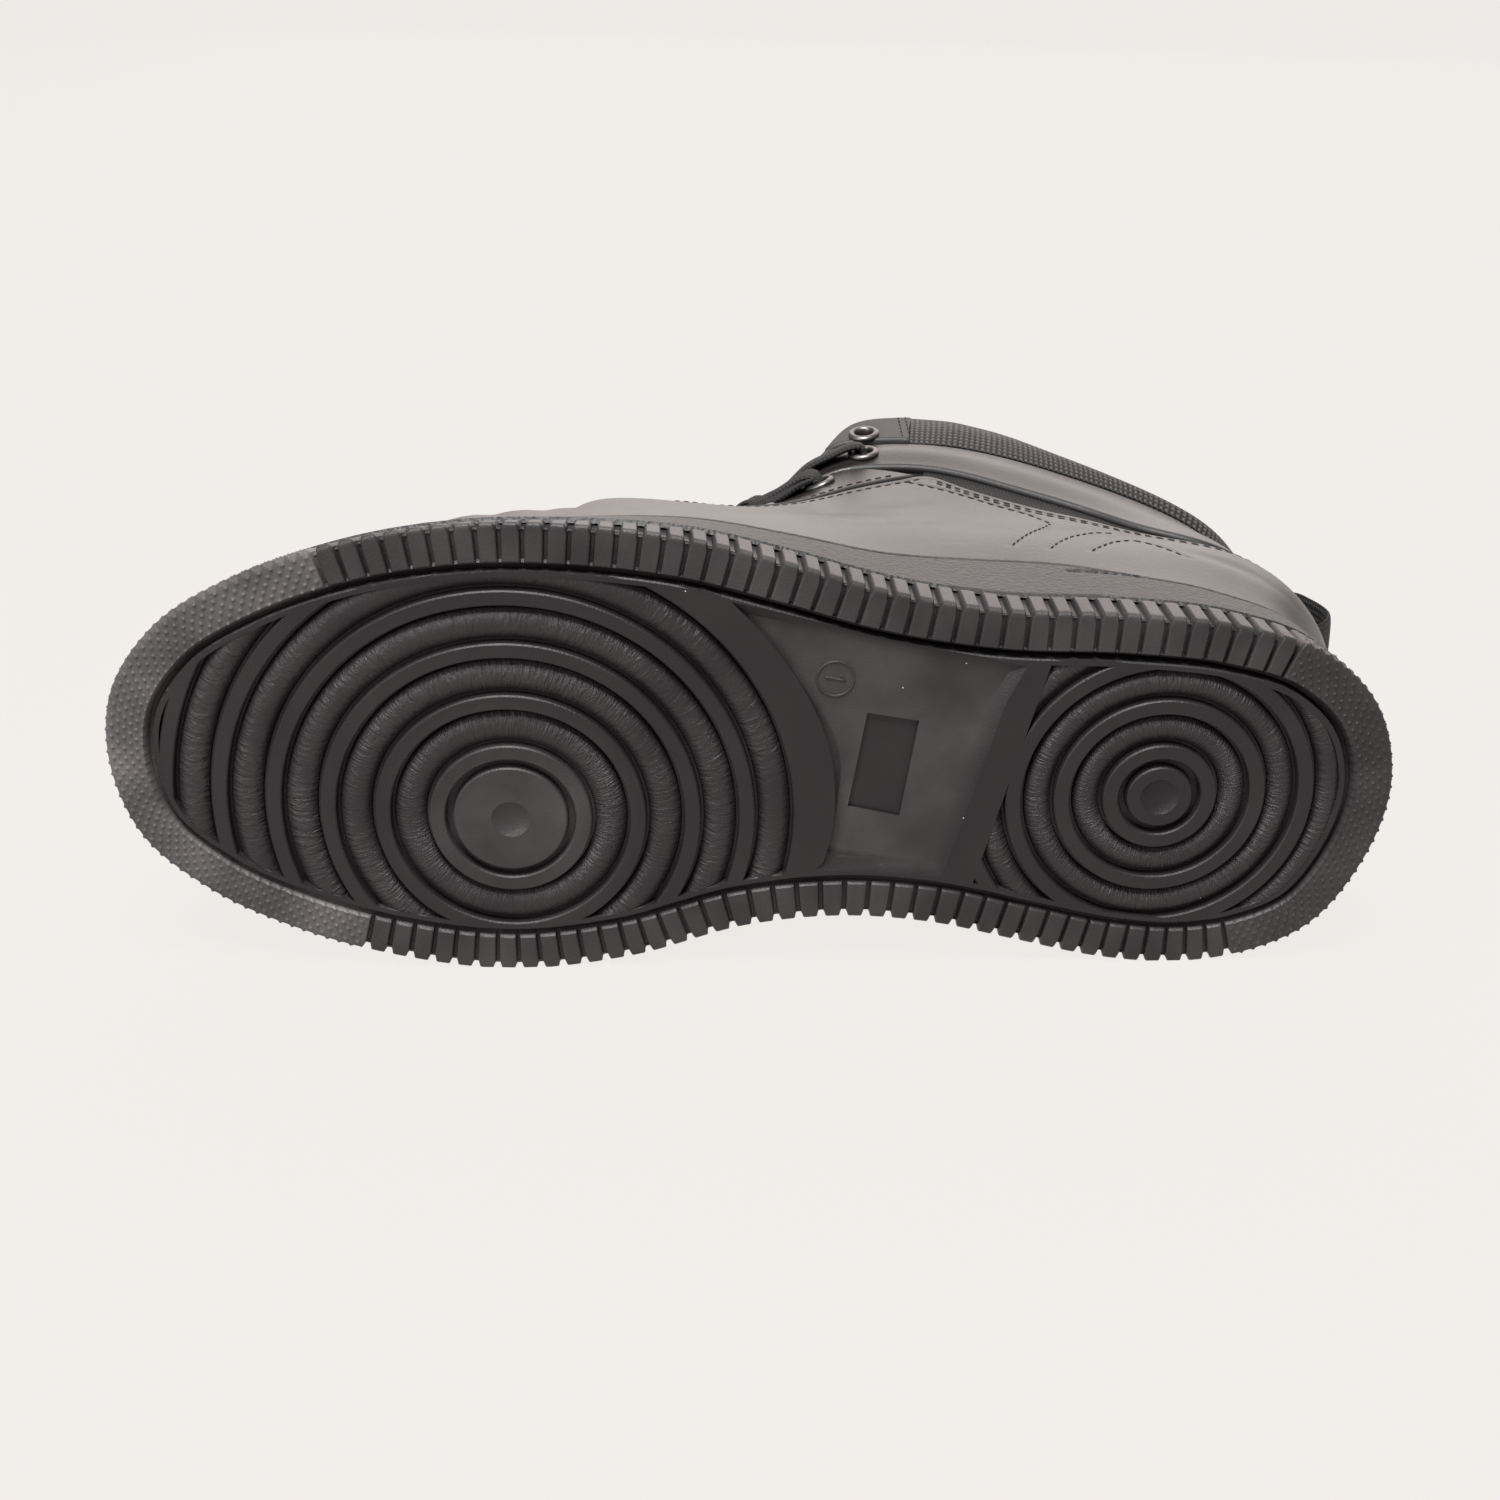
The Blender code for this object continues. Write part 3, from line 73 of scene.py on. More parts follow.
# Sole outline from the toe tip round the outer side: share of length, share of width there.
outline = (
    (1.000, 0.097), (0.992, 0.274), (0.949, 0.429), (0.885, 0.531), (0.804, 0.604), (0.703, 0.639),
    (0.617, 0.641), (0.541, 0.638), (0.466, 0.611), (0.392, 0.569), (0.311, 0.533), (0.209, 0.507),
    (0.128, 0.467), (0.064, 0.389), (0.019, 0.244), (0.000, 0.022), (0.017, -0.222), (0.057, -0.406),
    (0.108, -0.481), (0.162, -0.502), (0.223, -0.478), (0.291, -0.417), (0.361, -0.348),
    (0.432, -0.305), (0.507, -0.302), (0.601, -0.349), (0.696, -0.361), (0.784, -0.327),
    (0.865, -0.261), (0.936, -0.164), (0.983, -0.044),
)
# Cup edge: place heel to toe, share of cup height, lean outer side, lean inner side.
cupEdge = (
    (0.00, 1.000, 0.438, 0.438), (0.10, 1.000, 0.400, 0.400), (0.20, 1.000, 0.275, 0.312),
    (0.28, 1.093, 0.150, 0.188), (0.36, 1.352, 0.125, 0.062), (0.44, 1.074, 0.150, 0.062),
    (0.50, 0.944, 0.300, 0.188), (0.60, 0.889, 0.875, 0.500), (0.70, 0.889, 1.000, 0.688),
    (0.80, 0.889, 0.938, 0.750), (0.90, 0.889, 0.812, 0.750), (1.00, 0.889, 0.750, 0.750),
)
# Rings of the last: place heel to toe, share of length, share of collar height,
# share of width on the outer side, share of width on the inner side.
lastRings = (
    (
        (0.00, 0.009, 0.362, 0.000, 0.000), (0.10, 0.029, 0.362, 0.228, -0.233),
        (0.20, 0.088, 0.362, 0.378, -0.383), (0.30, 0.196, 0.368, 0.439, -0.428),
        (0.40, 0.338, 0.368, 0.486, -0.381), (0.50, 0.493, 0.342, 0.510, -0.337),
        (0.60, 0.645, 0.303, 0.528, -0.326), (0.70, 0.780, 0.273, 0.500, -0.279),
        (0.80, 0.883, 0.257, 0.407, -0.164), (0.90, 0.949, 0.247, 0.270, -0.009),
        (1.00, 0.968, 0.243, 0.133, 0.133),
    ),
    (
        (0.00, 0.020, 0.553, 0.000, 0.000), (0.10, 0.042, 0.546, 0.206, -0.206),
        (0.20, 0.098, 0.539, 0.344, -0.344), (0.30, 0.193, 0.553, 0.411, -0.411),
        (0.40, 0.328, 0.566, 0.465, -0.393), (0.50, 0.470, 0.526, 0.450, -0.334),
        (0.60, 0.615, 0.434, 0.449, -0.308), (0.70, 0.743, 0.365, 0.412, -0.239),
        (0.80, 0.831, 0.339, 0.323, -0.124), (0.90, 0.889, 0.332, 0.221, -0.009),
        (1.00, 0.905, 0.329, 0.111, 0.111),
    ),
    (
        (0.00, 0.029, 0.697, 0.000, 0.000), (0.10, 0.051, 0.681, 0.183, -0.183),
        (0.20, 0.103, 0.658, 0.317, -0.317), (0.30, 0.194, 0.724, 0.409, -0.430),
        (0.40, 0.324, 0.803, 0.476, -0.422), (0.45, 0.389, 0.803, 0.458, -0.382),
        (0.50, 0.446, 0.684, 0.397, -0.309), (0.60, 0.578, 0.572, 0.329, -0.236),
        (0.70, 0.686, 0.484, 0.279, -0.164), (0.80, 0.750, 0.444, 0.212, -0.084),
        (0.90, 0.787, 0.428, 0.150, -0.004), (1.00, 0.799, 0.424, 0.075, 0.075),
    ),
    (
        (0.00, 0.025, 0.816, 0.000, 0.000), (0.10, 0.049, 0.793, 0.172, -0.172),
        (0.20, 0.101, 0.760, 0.317, -0.317), (0.30, 0.194, 0.872, 0.420, -0.438),
        (0.36, 0.260, 0.964, 0.467, -0.452), (0.42, 0.341, 0.990, 0.502, -0.424),
        (0.45, 0.385, 0.970, 0.486, -0.394), (0.48, 0.414, 0.888, 0.434, -0.349),
        (0.52, 0.449, 0.783, 0.355, -0.283), (0.60, 0.541, 0.684, 0.248, -0.186),
        (0.70, 0.632, 0.602, 0.171, -0.103), (0.80, 0.676, 0.566, 0.120, -0.049),
        (0.90, 0.696, 0.553, 0.078, 0.000), (1.00, 0.699, 0.549, 0.040, 0.040),
    ),
)
ringLevels = (0.0, 0.14, 0.36, 0.60, 0.82, 1.0)

# Seams in side view: share of length, share of collar height.
seams = {
    "stayTop": ((0.30, 0.676), (0.334, 0.712), (0.38, 0.761), (0.47, 0.766), (0.60, 0.766)),
    "mesh": (
        (-0.05, 0.704), (0.03, 0.704), (0.07, 0.697), (0.10, 0.708), (0.145, 0.743), (0.195, 0.792),
        (0.245, 0.838), (0.290, 0.866), (0.331, 0.878), (0.460, 0.885), (0.60, 0.89),
    ),
    "band": (
        (-0.05, 0.500), (0.06, 0.500), (0.105, 0.500), (0.140, 0.526), (0.193, 0.610), (0.247, 0.671),
        (0.331, 0.753), (0.380, 0.766), (0.460, 0.772), (0.60, 0.775),
    ),
    "quarter": (
        (-0.05, 0.460), (0.06, 0.452), (0.105, 0.442), (0.140, 0.463), (0.193, 0.539),
        (0.247, 0.586), (0.297, 0.651), (0.331, 0.706), (0.358, 0.684), (0.395, 0.648),
        (0.456, 0.569), (0.517, 0.480), (0.581, 0.368), (0.628, 0.263), (0.655, 0.130),
    ),
    "eyestay": (
        (0.334, 0.712), (0.362, 0.690), (0.399, 0.654), (0.452, 0.584), (0.500, 0.548),
        (0.560, 0.515), (0.625, 0.478), (0.690, 0.470), (0.740, 0.490), (0.790, 0.530),
    ),
}
eyeletPlaces = (
    (0.378, 0.908), (0.382, 0.816), (0.424, 0.716), (0.480, 0.645), (0.535, 0.593),
    (0.588, 0.543), (0.640, 0.498),
)


# Smooth curve through values at rising knots, read at many places at once.
def openCurve(knots, values, at):
    knots = np.asarray(knots, float)
    at = np.clip(np.atleast_1d(np.asarray(at, float)), knots[0], knots[-1])
    values = np.asarray(values, float)
    if values.ndim == 2:
        values = np.broadcast_to(values, (len(at),) + values.shape)
    span = np.diff(knots)
    chord = np.diff(values, axis=1) / span[:, None]
    inner = chord[:, :-1] * span[1:, None] + chord[:, 1:] * span[:-1, None]
    inner = inner / (span[1:] + span[:-1])[:, None]
    slope = np.concatenate([chord[:, :1], inner, chord[:, -1:]], axis=1)
    k = np.clip(np.searchsorted(knots, at, side="right") - 1, 0, len(span) - 1)
    rows = np.arange(len(at))
    t = ((at - knots[k]) / span[k])[:, None]
    h = span[k][:, None]
    start = values[rows, k] * (2 * t**3 - 3 * t**2 + 1) + slope[rows, k] * h * (t**3 - 2 * t**2 + t)
    end = values[rows, k + 1] * (3 * t**2 - 2 * t**3) + slope[rows, k + 1] * h * (t**3 - t**2)
    return start + end


def closedCurve(knots, values, period, at):
    knots = np.asarray(knots, float)
    values = np.asarray(values, float)
    knots = np.concatenate([knots[-3:] - period, knots, knots[:3] + period])
    values = np.concatenate([values[-3:], values, values[:3]])
    return openCurve(knots, values, np.mod(at, period))


def smoothStep(value):
    value = np.clip(value, 0.0, 1.0)
    return value * value * (3.0 - 2.0 * value)


def unit(rows):
    return rows / np.linalg.norm(rows, axis=1)[:, None]


# Lengths along a row of points, or along one axis of a table of them.
def lengthsAlong(points, axis=0):
    steps = np.linalg.norm(np.diff(points, axis=axis), axis=-1)
    start = np.zeros_like(np.take(steps, [0], axis=axis))
    return np.concatenate([start, np.cumsum(steps, axis=axis)], axis=axis)


def widthAt(share):
    return shoe["heelWidth"] + (shoe["ballWidth"] - shoe["heelWidth"]) * smoothStep((share - 0.3) / 0.4)


def springAt(x):
    start = 0.66 * shoe["length"]
    share = np.clip((np.asarray(x) - start) / (shoe["length"] - start), 0.0, None)
    return shoe["toeSpring"] * share**2


def denseOutline(steps=1400):
    rows = np.array(outline)
    points = np.stack([rows[:, 0] * shoe["length"], rows[:, 1] * widthAt(rows[:, 0])], axis=1)
    sides = np.linalg.norm(np.roll(points, -1, axis=0) - points, axis=1)
    knots = np.concatenate([[0.0], np.cumsum(sides)[:-1]])
    curve = closedCurve(knots, points, sides.sum(), np.arange(steps) * sides.sum() / steps)
    lengths = np.linalg.norm(np.roll(curve, -1, axis=0) - curve, axis=1)
    ahead = np.roll(curve, -8, axis=0) - np.roll(curve, 8, axis=0)
    return curve, np.concatenate([[0.0], np.cumsum(lengths)]), unit(ahead)


edge, edgeLengths, edgeAlong = denseOutline()
edgeTotal = edgeLengths[-1]
toeIndex = int(np.argmax(edge[:, 0]))
heelIndex = int(np.argmin(edge[:, 0]))


# Points of the outline at distances along it, moved inward.
def edgePoint(distance, inset=0.0):
    distance = np.mod(np.atleast_1d(distance), edgeTotal)
    around = lambda column: np.interp(distance, edgeLengths, np.append(column, column[0]))
    x, y = around(edge[:, 0]), around(edge[:, 1])
    ax, ay = around(edgeAlong[:, 0]), around(edgeAlong[:, 1])
    size = np.hypot(ax, ay)
    return np.stack([x - ay / size * inset, y + ax / size * inset], axis=1)


def distanceAtX(x, outer):
    index = np.arange(toeIndex - (len(edge) if toeIndex > heelIndex else 0), heelIndex + 1)
    if not outer:
        index = np.arange(heelIndex, toeIndex + (len(edge) if toeIndex < heelIndex else 0) + 1)
    lengths = edgeLengths[np.mod(index, len(edge))] + edgeTotal * np.floor_divide(index, len(edge))
    along = edge[np.mod(index, len(edge)), 0]
    order = np.argsort(along, kind="stable")
    return np.interp(x, along[order], lengths[order])


# Distance along the outline of a column: s is 0 at the heel, 1 at the toe by the outer side, 2 back.
def columnDistance(s):
    s = np.mod(np.atleast_1d(s), 2.0)
    place = np.where(s <= 1.0, s, 2.0 - s)
    low, high = edge[heelIndex, 0], edge[toeIndex, 0]
    x = low + (high - low) * (1.0 - np.cos(math.pi * place)) / 2.0
    return np.where(s <= 1.0, distanceAtX(x, True), distanceAtX(x, False))


def bothSides(rows, first, second):
    rows = np.array(rows)
    knots = np.concatenate([rows[:, 0], 2.0 - rows[-2:0:-1, 0]])
    return knots, np.concatenate([first(rows), second(rows)[-2:0:-1]])


def cupSide(column):
    return lambda rows: np.stack([rows[:, 1] * shoe["cupHeight"], rows[:, column] * shoe["cupInset"]], axis=1)


cupKnots, cupValues = bothSides(cupEdge, cupSide(2), cupSide(3))


def ringSide(column):
    def side(rows):
        x = rows[:, 1] * shoe["length"]
        z = rows[:, 2] * shoe["collarHeight"] + springAt(x)
        return np.stack([x, rows[:, column] * widthAt(rows[:, 1]), z], axis=1)
    return side


ringCurves = [bothSides(rows, ringSide(3), ringSide(4)) for rows in lastRings]


def cupTop(s):
    return closedCurve(cupKnots, cupValues, 2.0, s)[:, 0]


def cupLean(s):
    return closedCurve(cupKnots, cupValues, 2.0, s)[:, 1]


def floorHeight(x):
    share = smoothStep((x / shoe["length"] - 0.25) / 0.35)
    return shoe["heelStack"] + (shoe["forefootStack"] - shoe["heelStack"]) * share


def columnEdge(s, inset):
    return edgePoint(columnDistance(s), inset)


# Point of the upper: s runs round the shoe, v from the feather edge up to the opening.
def upperPoint(s, v):
    s = np.atleast_1d(np.asarray(s, float))
    v = np.broadcast_to(np.asarray(v, float), s.shape)
    flat = columnEdge(s, cupLean(s) + shoe["cupLip"] + shoe["gap"])
    low = np.column_stack([flat, floorHeight(flat[:, 0]) + shoe["gap"] + springAt(flat[:, 0])])
    brim = np.column_stack([flat, cupTop(s) + 2.0 * shoe["gap"] + springAt(flat[:, 0])])
    rings = [closedCurve(knots, values, 2.0, s) for knots, values in ringCurves]
    return openCurve(ringLevels, np.stack([low, brim] + rings, axis=1), v)


def upperSurface(s, v, out=0.0):
    s = np.atleast_1d(np.asarray(s, float))
    v = np.broadcast_to(np.asarray(v, float), s.shape)
    step = 0.01
    along = upperPoint(s + step, v) - upperPoint(s - step, v)
    up = upperPoint(s, np.minimum(v + step, 1.0)) - upperPoint(s, np.maximum(v - step, 0.0))
    normal = unit(np.cross(up, along))
    return upperPoint(s, v) + normal * np.broadcast_to(out, s.shape)[:, None], normal


def seamHeight(name, x):
    rows = np.array(seams[name]) * (shoe["length"], shoe["collarHeight"])
    return openCurve(rows[:, 0], rows, x)[:, 1]


# Height coordinate at which each column crosses a seam.
def levelAt(s, name, shift=0.0):
    low = np.full(len(s), 0.14)
    high = np.ones(len(s))
    for _ in range(22):
        middle = 0.5 * (low + high)
        point = upperPoint(s, middle)
        under = point[:, 2] < seamHeight(name, point[:, 0]) + shift
        low = np.where(under, middle, low)
        high = np.where(under, high, middle)
    return 0.5 * (low + high)


coarseTable = np.meshgrid(np.linspace(0.02, 0.98, 97), np.linspace(0.16, 1.0, 85))
coarseColumns, coarseLevels = (grid.ravel() for grid in coarseTable)
coarseSides = {
    True: upperPoint(coarseColumns, coarseLevels),
    False: upperPoint(2.0 - coarseColumns, coarseLevels),
}


# Columns and heights of the upper at points given in side view: the nearest of a coarse table is
# taken first, and a few Newton steps follow.
def locate(x, z, outer):
    x, z = np.atleast_1d(x), np.atleast_1d(z)
    table = coarseSides[outer]
    apart = (table[None, :, 0] - x[:, None]) ** 2 + (table[None, :, 2] - z[:, None]) ** 2
    best = np.argmin(apart, axis=1)
    s, v = coarseColumns[best], coarseLevels[best]
    side = lambda value: value if outer else 2.0 - value
    step = 0.0005
    for _ in range(6):
        here = upperPoint(side(s), v)
        alongS = (upperPoint(side(s + step), v) - here) / step
        alongV = (here - upperPoint(side(s), v - step)) / step
        gapX, gapZ = x - here[:, 0], z - here[:, 2]
        size = alongS[:, 0] * alongV[:, 2] - alongS[:, 2] * alongV[:, 0]
        size = np.where(np.abs(size) < 1e-6, 1e-6, size)
        s = s + np.clip((gapX * alongV[:, 2] - gapZ * alongV[:, 0]) / size, -0.02, 0.02)
        v = np.clip(v + np.clip((alongS[:, 0] * gapZ - alongS[:, 2] * gapX) / size, -0.02, 0.02), 0.14, 1.0)
    return side(s), v


# Colours are given as sRGB hex and turned to linear here.
def linear(code):
    values = [int(code[k:k + 2], 16) / 255.0 for k in (0, 2, 4)]
    return tuple(c / 12.92 if c <= 0.04045 else ((c + 0.055) / 1.055) ** 2.4 for c in values) + (1.0,)


def addNode(tree, kind, inputs=None, **settings):
    node = tree.nodes.new(kind)
    for name, value in settings.items():
        setattr(node, name, value)
    for name, value in (inputs or {}).items():
        if isinstance(value, bpy.types.NodeSocket):
            tree.links.new(value, node.inputs[name])
        elif isinstance(value, bpy.types.Node):
            tree.links.new(value.outputs[0], node.inputs[name])
        else:
            node.inputs[name].default_value = value
    return node


def mathNode(tree, operation, *values):
    return addNode(tree, "ShaderNodeMath", dict(enumerate(values)), operation=operation)


def noiseNode(tree, place, scale, detail, **more):
    return addNode(tree, "ShaderNodeTexNoise", {"Vector": place, "Scale": scale, "Detail": detail, **more})


# The ends are from low, from high, to low and to high.
def rangeNode(tree, value, *ends):
    return addNode(tree, "ShaderNodeMapRange", dict(enumerate((value,) + ends)))


def mixColours(tree, share, first, second):
    return addNode(tree, "ShaderNodeMix", {0: share, 6: first, 7: second}, data_type="RGBA").outputs[2]


def bumpNode(tree, height, strength, depth, **more):
    inputs = {"Height": height, "Strength": strength, "Distance": depth, **more}
    return addNode(tree, "ShaderNodeBump", inputs)


def connect(tree, shader, colour, bump):
    tree.links.new(colour, shader.inputs["Base Color"])
    tree.links.new(bump.outputs[0], shader.inputs["Normal"])


def newMaterial(name, colour, roughness, **sockets):
    material = bpy.data.materials.new(name)
    material.use_nodes = True
    shader = material.node_tree.nodes["Principled BSDF"]
    shader.inputs["Base Color"].default_value = linear(colour)
    shader.inputs["Roughness"].default_value = roughness
    for socket, value in sockets.items():
        shader.inputs[socket.replace("_", " ")].default_value = value
    return material, material.node_tree, shader


def meshFrom(name, shape):
    mesh = bpy.data.meshes.new(name)
    shape.to_mesh(mesh)
    shape.free()
    return mesh


def addObject(name, data):
    item = bpy.data.objects.new(name, data)
    bpy.context.scene.collection.objects.link(item)
    return item


# Add one shape to another.
def absorb(whole, part):
    mesh = meshFrom("part", part)
    whole.from_mesh(mesh)
    bpy.data.meshes.remove(mesh)


def finishPiece(shape, name, material, replaced=(), smoothAngle=40.0, recalc=True):
    if recalc:
        bmesh.ops.recalc_face_normals(shape, faces=shape.faces)
    bmesh.ops.transform(shape, matrix=toWorld, verts=shape.verts)
    mesh = meshFrom(name, shape)
    mesh.materials.append(material)
    mesh.shade_smooth()
    mesh.set_sharp_from_angle(angle=math.radians(smoothAngle))
    piece = addObject(name, mesh)
    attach(piece, "root")
    if replaced:
        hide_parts(*replaced)
    return piece


# Map of a table of points in metres: along its middle row, and along each column.
def mapOf(points):
    across = lengthsAlong(points, 1)
    middle = across[across.shape[0] // 2]
    return np.stack([np.broadcast_to(middle, across.shape), lengthsAlong(points)], axis=-1)


# A sheet over a table of points, rows by columns, with its own map in metres.
def laySheet(points, flat=None, closed=False):
    shape = bmesh.new()
    rows, columns = points.shape[:2]
    made = bmesh.ops.create_grid(shape, x_segments=columns - 1, y_segments=rows - 1, size=1.0)
    layer = shape.loops.layers.uv.new("flat")
    spots = points.tolist()
    maps = (mapOf(points) if flat is None else flat).tolist()
    for vert in made["verts"]:
        i = int(round((vert.co.x + 1.0) * 0.5 * (columns - 1)))
        j = int(round((vert.co.y + 1.0) * 0.5 * (rows - 1)))
        vert.co = spots[j][i]
        for loop in vert.link_loops:
            loop[layer].uv = maps[j][i]
    if closed:
        bmesh.ops.remove_doubles(shape, verts=made["verts"], dist=weld)
    return shape


def mapFromAbove(shape):
    layer = shape.loops.layers.uv.get("flat") or shape.loops.layers.uv.new("flat")
    for face in shape.faces:
        for loop in face.loops:
            loop[layer].uv = loop.vert.co.xy


# Lens and place of the camera come from the tread rings and the outline in the photograph.
camera = {
    "place": (0.15549, 0.21764, -0.41893),
    "right": (-0.99932, -0.02404, -0.02783),
    "down": (0.03374, -0.90051, -0.43351),
    "forward": (-0.01464, -0.43416, 0.90072),
    "fieldOfView": 40.27,
}


def makeCamera():
    lens = bpy.data.cameras.new("camera")
    lens.sensor_fit = "HORIZONTAL"
    lens.sensor_width = 36.0
    lens.angle = math.radians(camera["fieldOfView"])
    item = addObject("camera", lens)
    turn = toWorld.to_3x3()
    right, down, forward = (turn @ Vector(camera[key]) for key in ("right", "down", "forward"))
    columns = Matrix((right, -down, -forward)).transposed().to_4x4()
    item.matrix_world = Matrix.Translation(toWorld @ Vector(camera["place"])) @ columns
    bpy.context.scene.camera = item


# Pale seamless paper that glows a little, as a lit sweep does, and three large soft boxes.
studio = {
    "size": 12.0,
    "roughness": 0.9,
    "paper": "F4F0ED",
    "paperShare": 0.022,
    "glow": 0.930,
    "sky": "F6F3F0",
    "skyStrength": 0.30,
    "aim": (0.0, 0.0, 0.05),
    "overhead": {"place": (-0.15, -0.45, 1.25), "size": 0.5, "power": 32.0, "colour": "FFFFFF"},
    "behind": {"place": (0.30, 1.25, 0.85), "size": 1.7, "power": 21.0, "colour": "FFF3EE"},
    "front": {"place": (-1.1, -1.0, 0.6), "size": 0.5, "power": 9.0, "colour": "FFFFFF"},
}


def makeStudio():
    shape = bmesh.new()
    bmesh.ops.create_grid(shape, x_segments=1, y_segments=1, size=studio["size"])
    floor = addObject("paperFloor", meshFrom("paperFloor", shape))
    bpy.context.scene.view_settings.view_transform = "Standard"
    material, tree, shader = newMaterial("backdropPaper", studio["paper"], studio["roughness"])
    paper = linear(studio["paper"])
    shader.inputs["Base Color"].default_value = [c * studio["paperShare"] for c in paper[:3]] + [1.0]
    shader.inputs["Emission Color"].default_value = paper
    shader.inputs["Emission Strength"].default_value = studio["glow"]
    shader.inputs["Specular IOR Level"].default_value = 0.0
    floor.data.materials.append(material)
    world = bpy.data.worlds.new("studio")
    bpy.context.scene.world = world
    world.use_nodes = True
    sky = world.node_tree.nodes["Background"]
    sky.inputs["Color"].default_value = linear(studio["sky"])
    sky.inputs["Strength"].default_value = studio["skyStrength"]
    for name in ("overhead", "behind", "front"):
        values = studio[name]
        light = bpy.data.lights.new(name, "AREA")
        light.size = values["size"]
        light.energy = values["power"]
        light.color = linear(values["colour"])[:3]
        lamp = addObject(name, light)
        lamp.location = values["place"]
        aim = Vector(studio["aim"]) - lamp.location
        lamp.rotation_euler = aim.to_track_quat("-Z", "Y").to_euler()


makeCamera()
makeStudio()
print("camera and studio ready")

# Vulcanised rubber of the tread: fine moulded grain, wrinkled across the rounded rings.
treadRubber = {
    "colour": "171516",
    "lighter": "221F20",
    # pale colour of dust and wear; on the rings' crowns it is partly a painted highlight
    "scuffed": "474344",
    "studded": "767171",
    "speck": "B9B4B0",
    "speckScale": 210.0,
    "speckRadius": 0.035,
    "speckLimit": 0.90,
    "cloudScale": 45.0,
    # share of pale on the rings' crowns: dust, and partly a painted highlight
    "rimWear": 0.75,
    "crownWearAndHighlight": 0.40,
    "roughness": 0.42,
    "specular": 0.29,
    "grain": 0.00022,
    "wrinkle": 0.00075,
    "wrinkleDepth": 0.0009,
    "forefoot": (0.690 * shoe["length"], 0.0),
    "heel": (0.183 * shoe["length"], 0.0),
    "split": 0.108,
}


# Where the sole rubs on the ground it is grey with dust: the discs, the arch, the rings' crowns and the rim.
# On the rings' crowns the pale colour is partly a painted highlight as well.
def soleRubber(name, wrinkled):
    look = treadRubber
    material, tree, shader = newMaterial(name, look["colour"], look["roughness"])
    shader.inputs["Specular IOR Level"].default_value = look["specular"]
    flat = addNode(tree, "ShaderNodeUVMap", uv_map="flat")
    place = addNode(tree, "ShaderNodeSeparateXYZ", {0: flat})
    x, y = place.outputs[0], place.outputs[1]
    cloud = noiseNode(tree, flat, look["cloudScale"], 3.0)
    tone = mixColours(tree, cloud, linear(look["colour"]), linear(look["lighter"]))
    rubbed = rangeNode(tree, cloud, 0.35, 0.72, 0.25, 0.85)
    fine = noiseNode(tree, flat, 1.0 / (3.0 * look["grain"]), 4.0, Roughness=0.65)
    relief = bumpNode(tree, fine, 0.65, look["grain"])
    if wrinkled:
        crown = addNode(tree, "ShaderNodeAttribute", attribute_name="rounded").outputs["Fac"]
        arch = addNode(tree, "ShaderNodeAttribute", attribute_name="arch").outputs["Fac"]
        apart = addNode(tree, "ShaderNodeVectorMath", {0: flat, 1: (look["forefoot"][0], 0.0, 0.0)},
                        operation="DISTANCE")
        disc = rangeNode(tree, apart.outputs[1], 0.012, 0.030, 1.0, 0.10)
        # the rings' crowns get dust and, with it, a painted highlight
        dustAndHighlight = mathNode(tree, "MULTIPLY", crown, look["crownWearAndHighlight"])
        most = mathNode(tree, "MAXIMUM", mathNode(tree, "MAXIMUM", disc, arch), dustAndHighlight)
        paleShare = mathNode(tree, "MULTIPLY", rubbed, most)
        pale = linear(look["scuffed"])
        # creases run out from the centre, so the pattern is much finer round the ring than across it
        isFront = mathNode(tree, "GREATER_THAN", x, look["split"])
        centre = rangeNode(tree, isFront, 0.0, 1.0, look["heel"][0], look["forefoot"][0])
        ahead = mathNode(tree, "SUBTRACT", x, centre)
        turn = mathNode(tree, "ARCTAN2", y, ahead)
        far = addNode(tree, "ShaderNodeVectorMath", {
            0: addNode(tree, "ShaderNodeCombineXYZ", {0: ahead, 1: y}),
        }, operation="LENGTH")
        polar = addNode(tree, "ShaderNodeCombineXYZ", {
            0: mathNode(tree, "MULTIPLY", turn, 0.034 / look["wrinkle"]),
            1: mathNode(tree, "MULTIPLY", far.outputs[1], 0.20 / look["wrinkle"]),
        })
        creases = noiseNode(tree, polar, 1.0, 3.0, Distortion=0.6)
        patchy = rangeNode(tree, cloud, 0.42, 0.62, 0.45, 1.1)
        depth = mathNode(tree, "MULTIPLY", creases, mathNode(tree, "MULTIPLY", patchy, crown))
        relief = bumpNode(tree, depth, 1.0, look["wrinkleDepth"], Normal=relief)
    else:
        # the studded toe rubs the most; the map's first value is the distance round the edge
        paleShare = mathNode(tree, "MULTIPLY", rubbed, look["rimWear"])
        tip = mathNode(tree, "GREATER_THAN", x, ribZones[1][1])
        pale = mixColours(tree, tip, linear(look["scuffed"]), linear(look["studded"]))
    worn = mixColours(tree, paleShare, tone, pale)
    specks = addNode(tree, "ShaderNodeTexVoronoi", {
        "Vector": flat, "Scale": look["speckScale"], "Randomness": 1.0,
    })
    close = mathNode(tree, "LESS_THAN", specks.outputs["Distance"], look["speckRadius"])
    drawn = addNode(tree, "ShaderNodeSeparateColor", {0: specks.outputs["Color"]})
    few = mathNode(tree, "GREATER_THAN", drawn, look["speckLimit"])
    dusty = mixColours(tree, mathNode(tree, "MULTIPLY", close, few), worn, linear(look["speck"]))
    connect(tree, shader, dusty, relief)
    return material


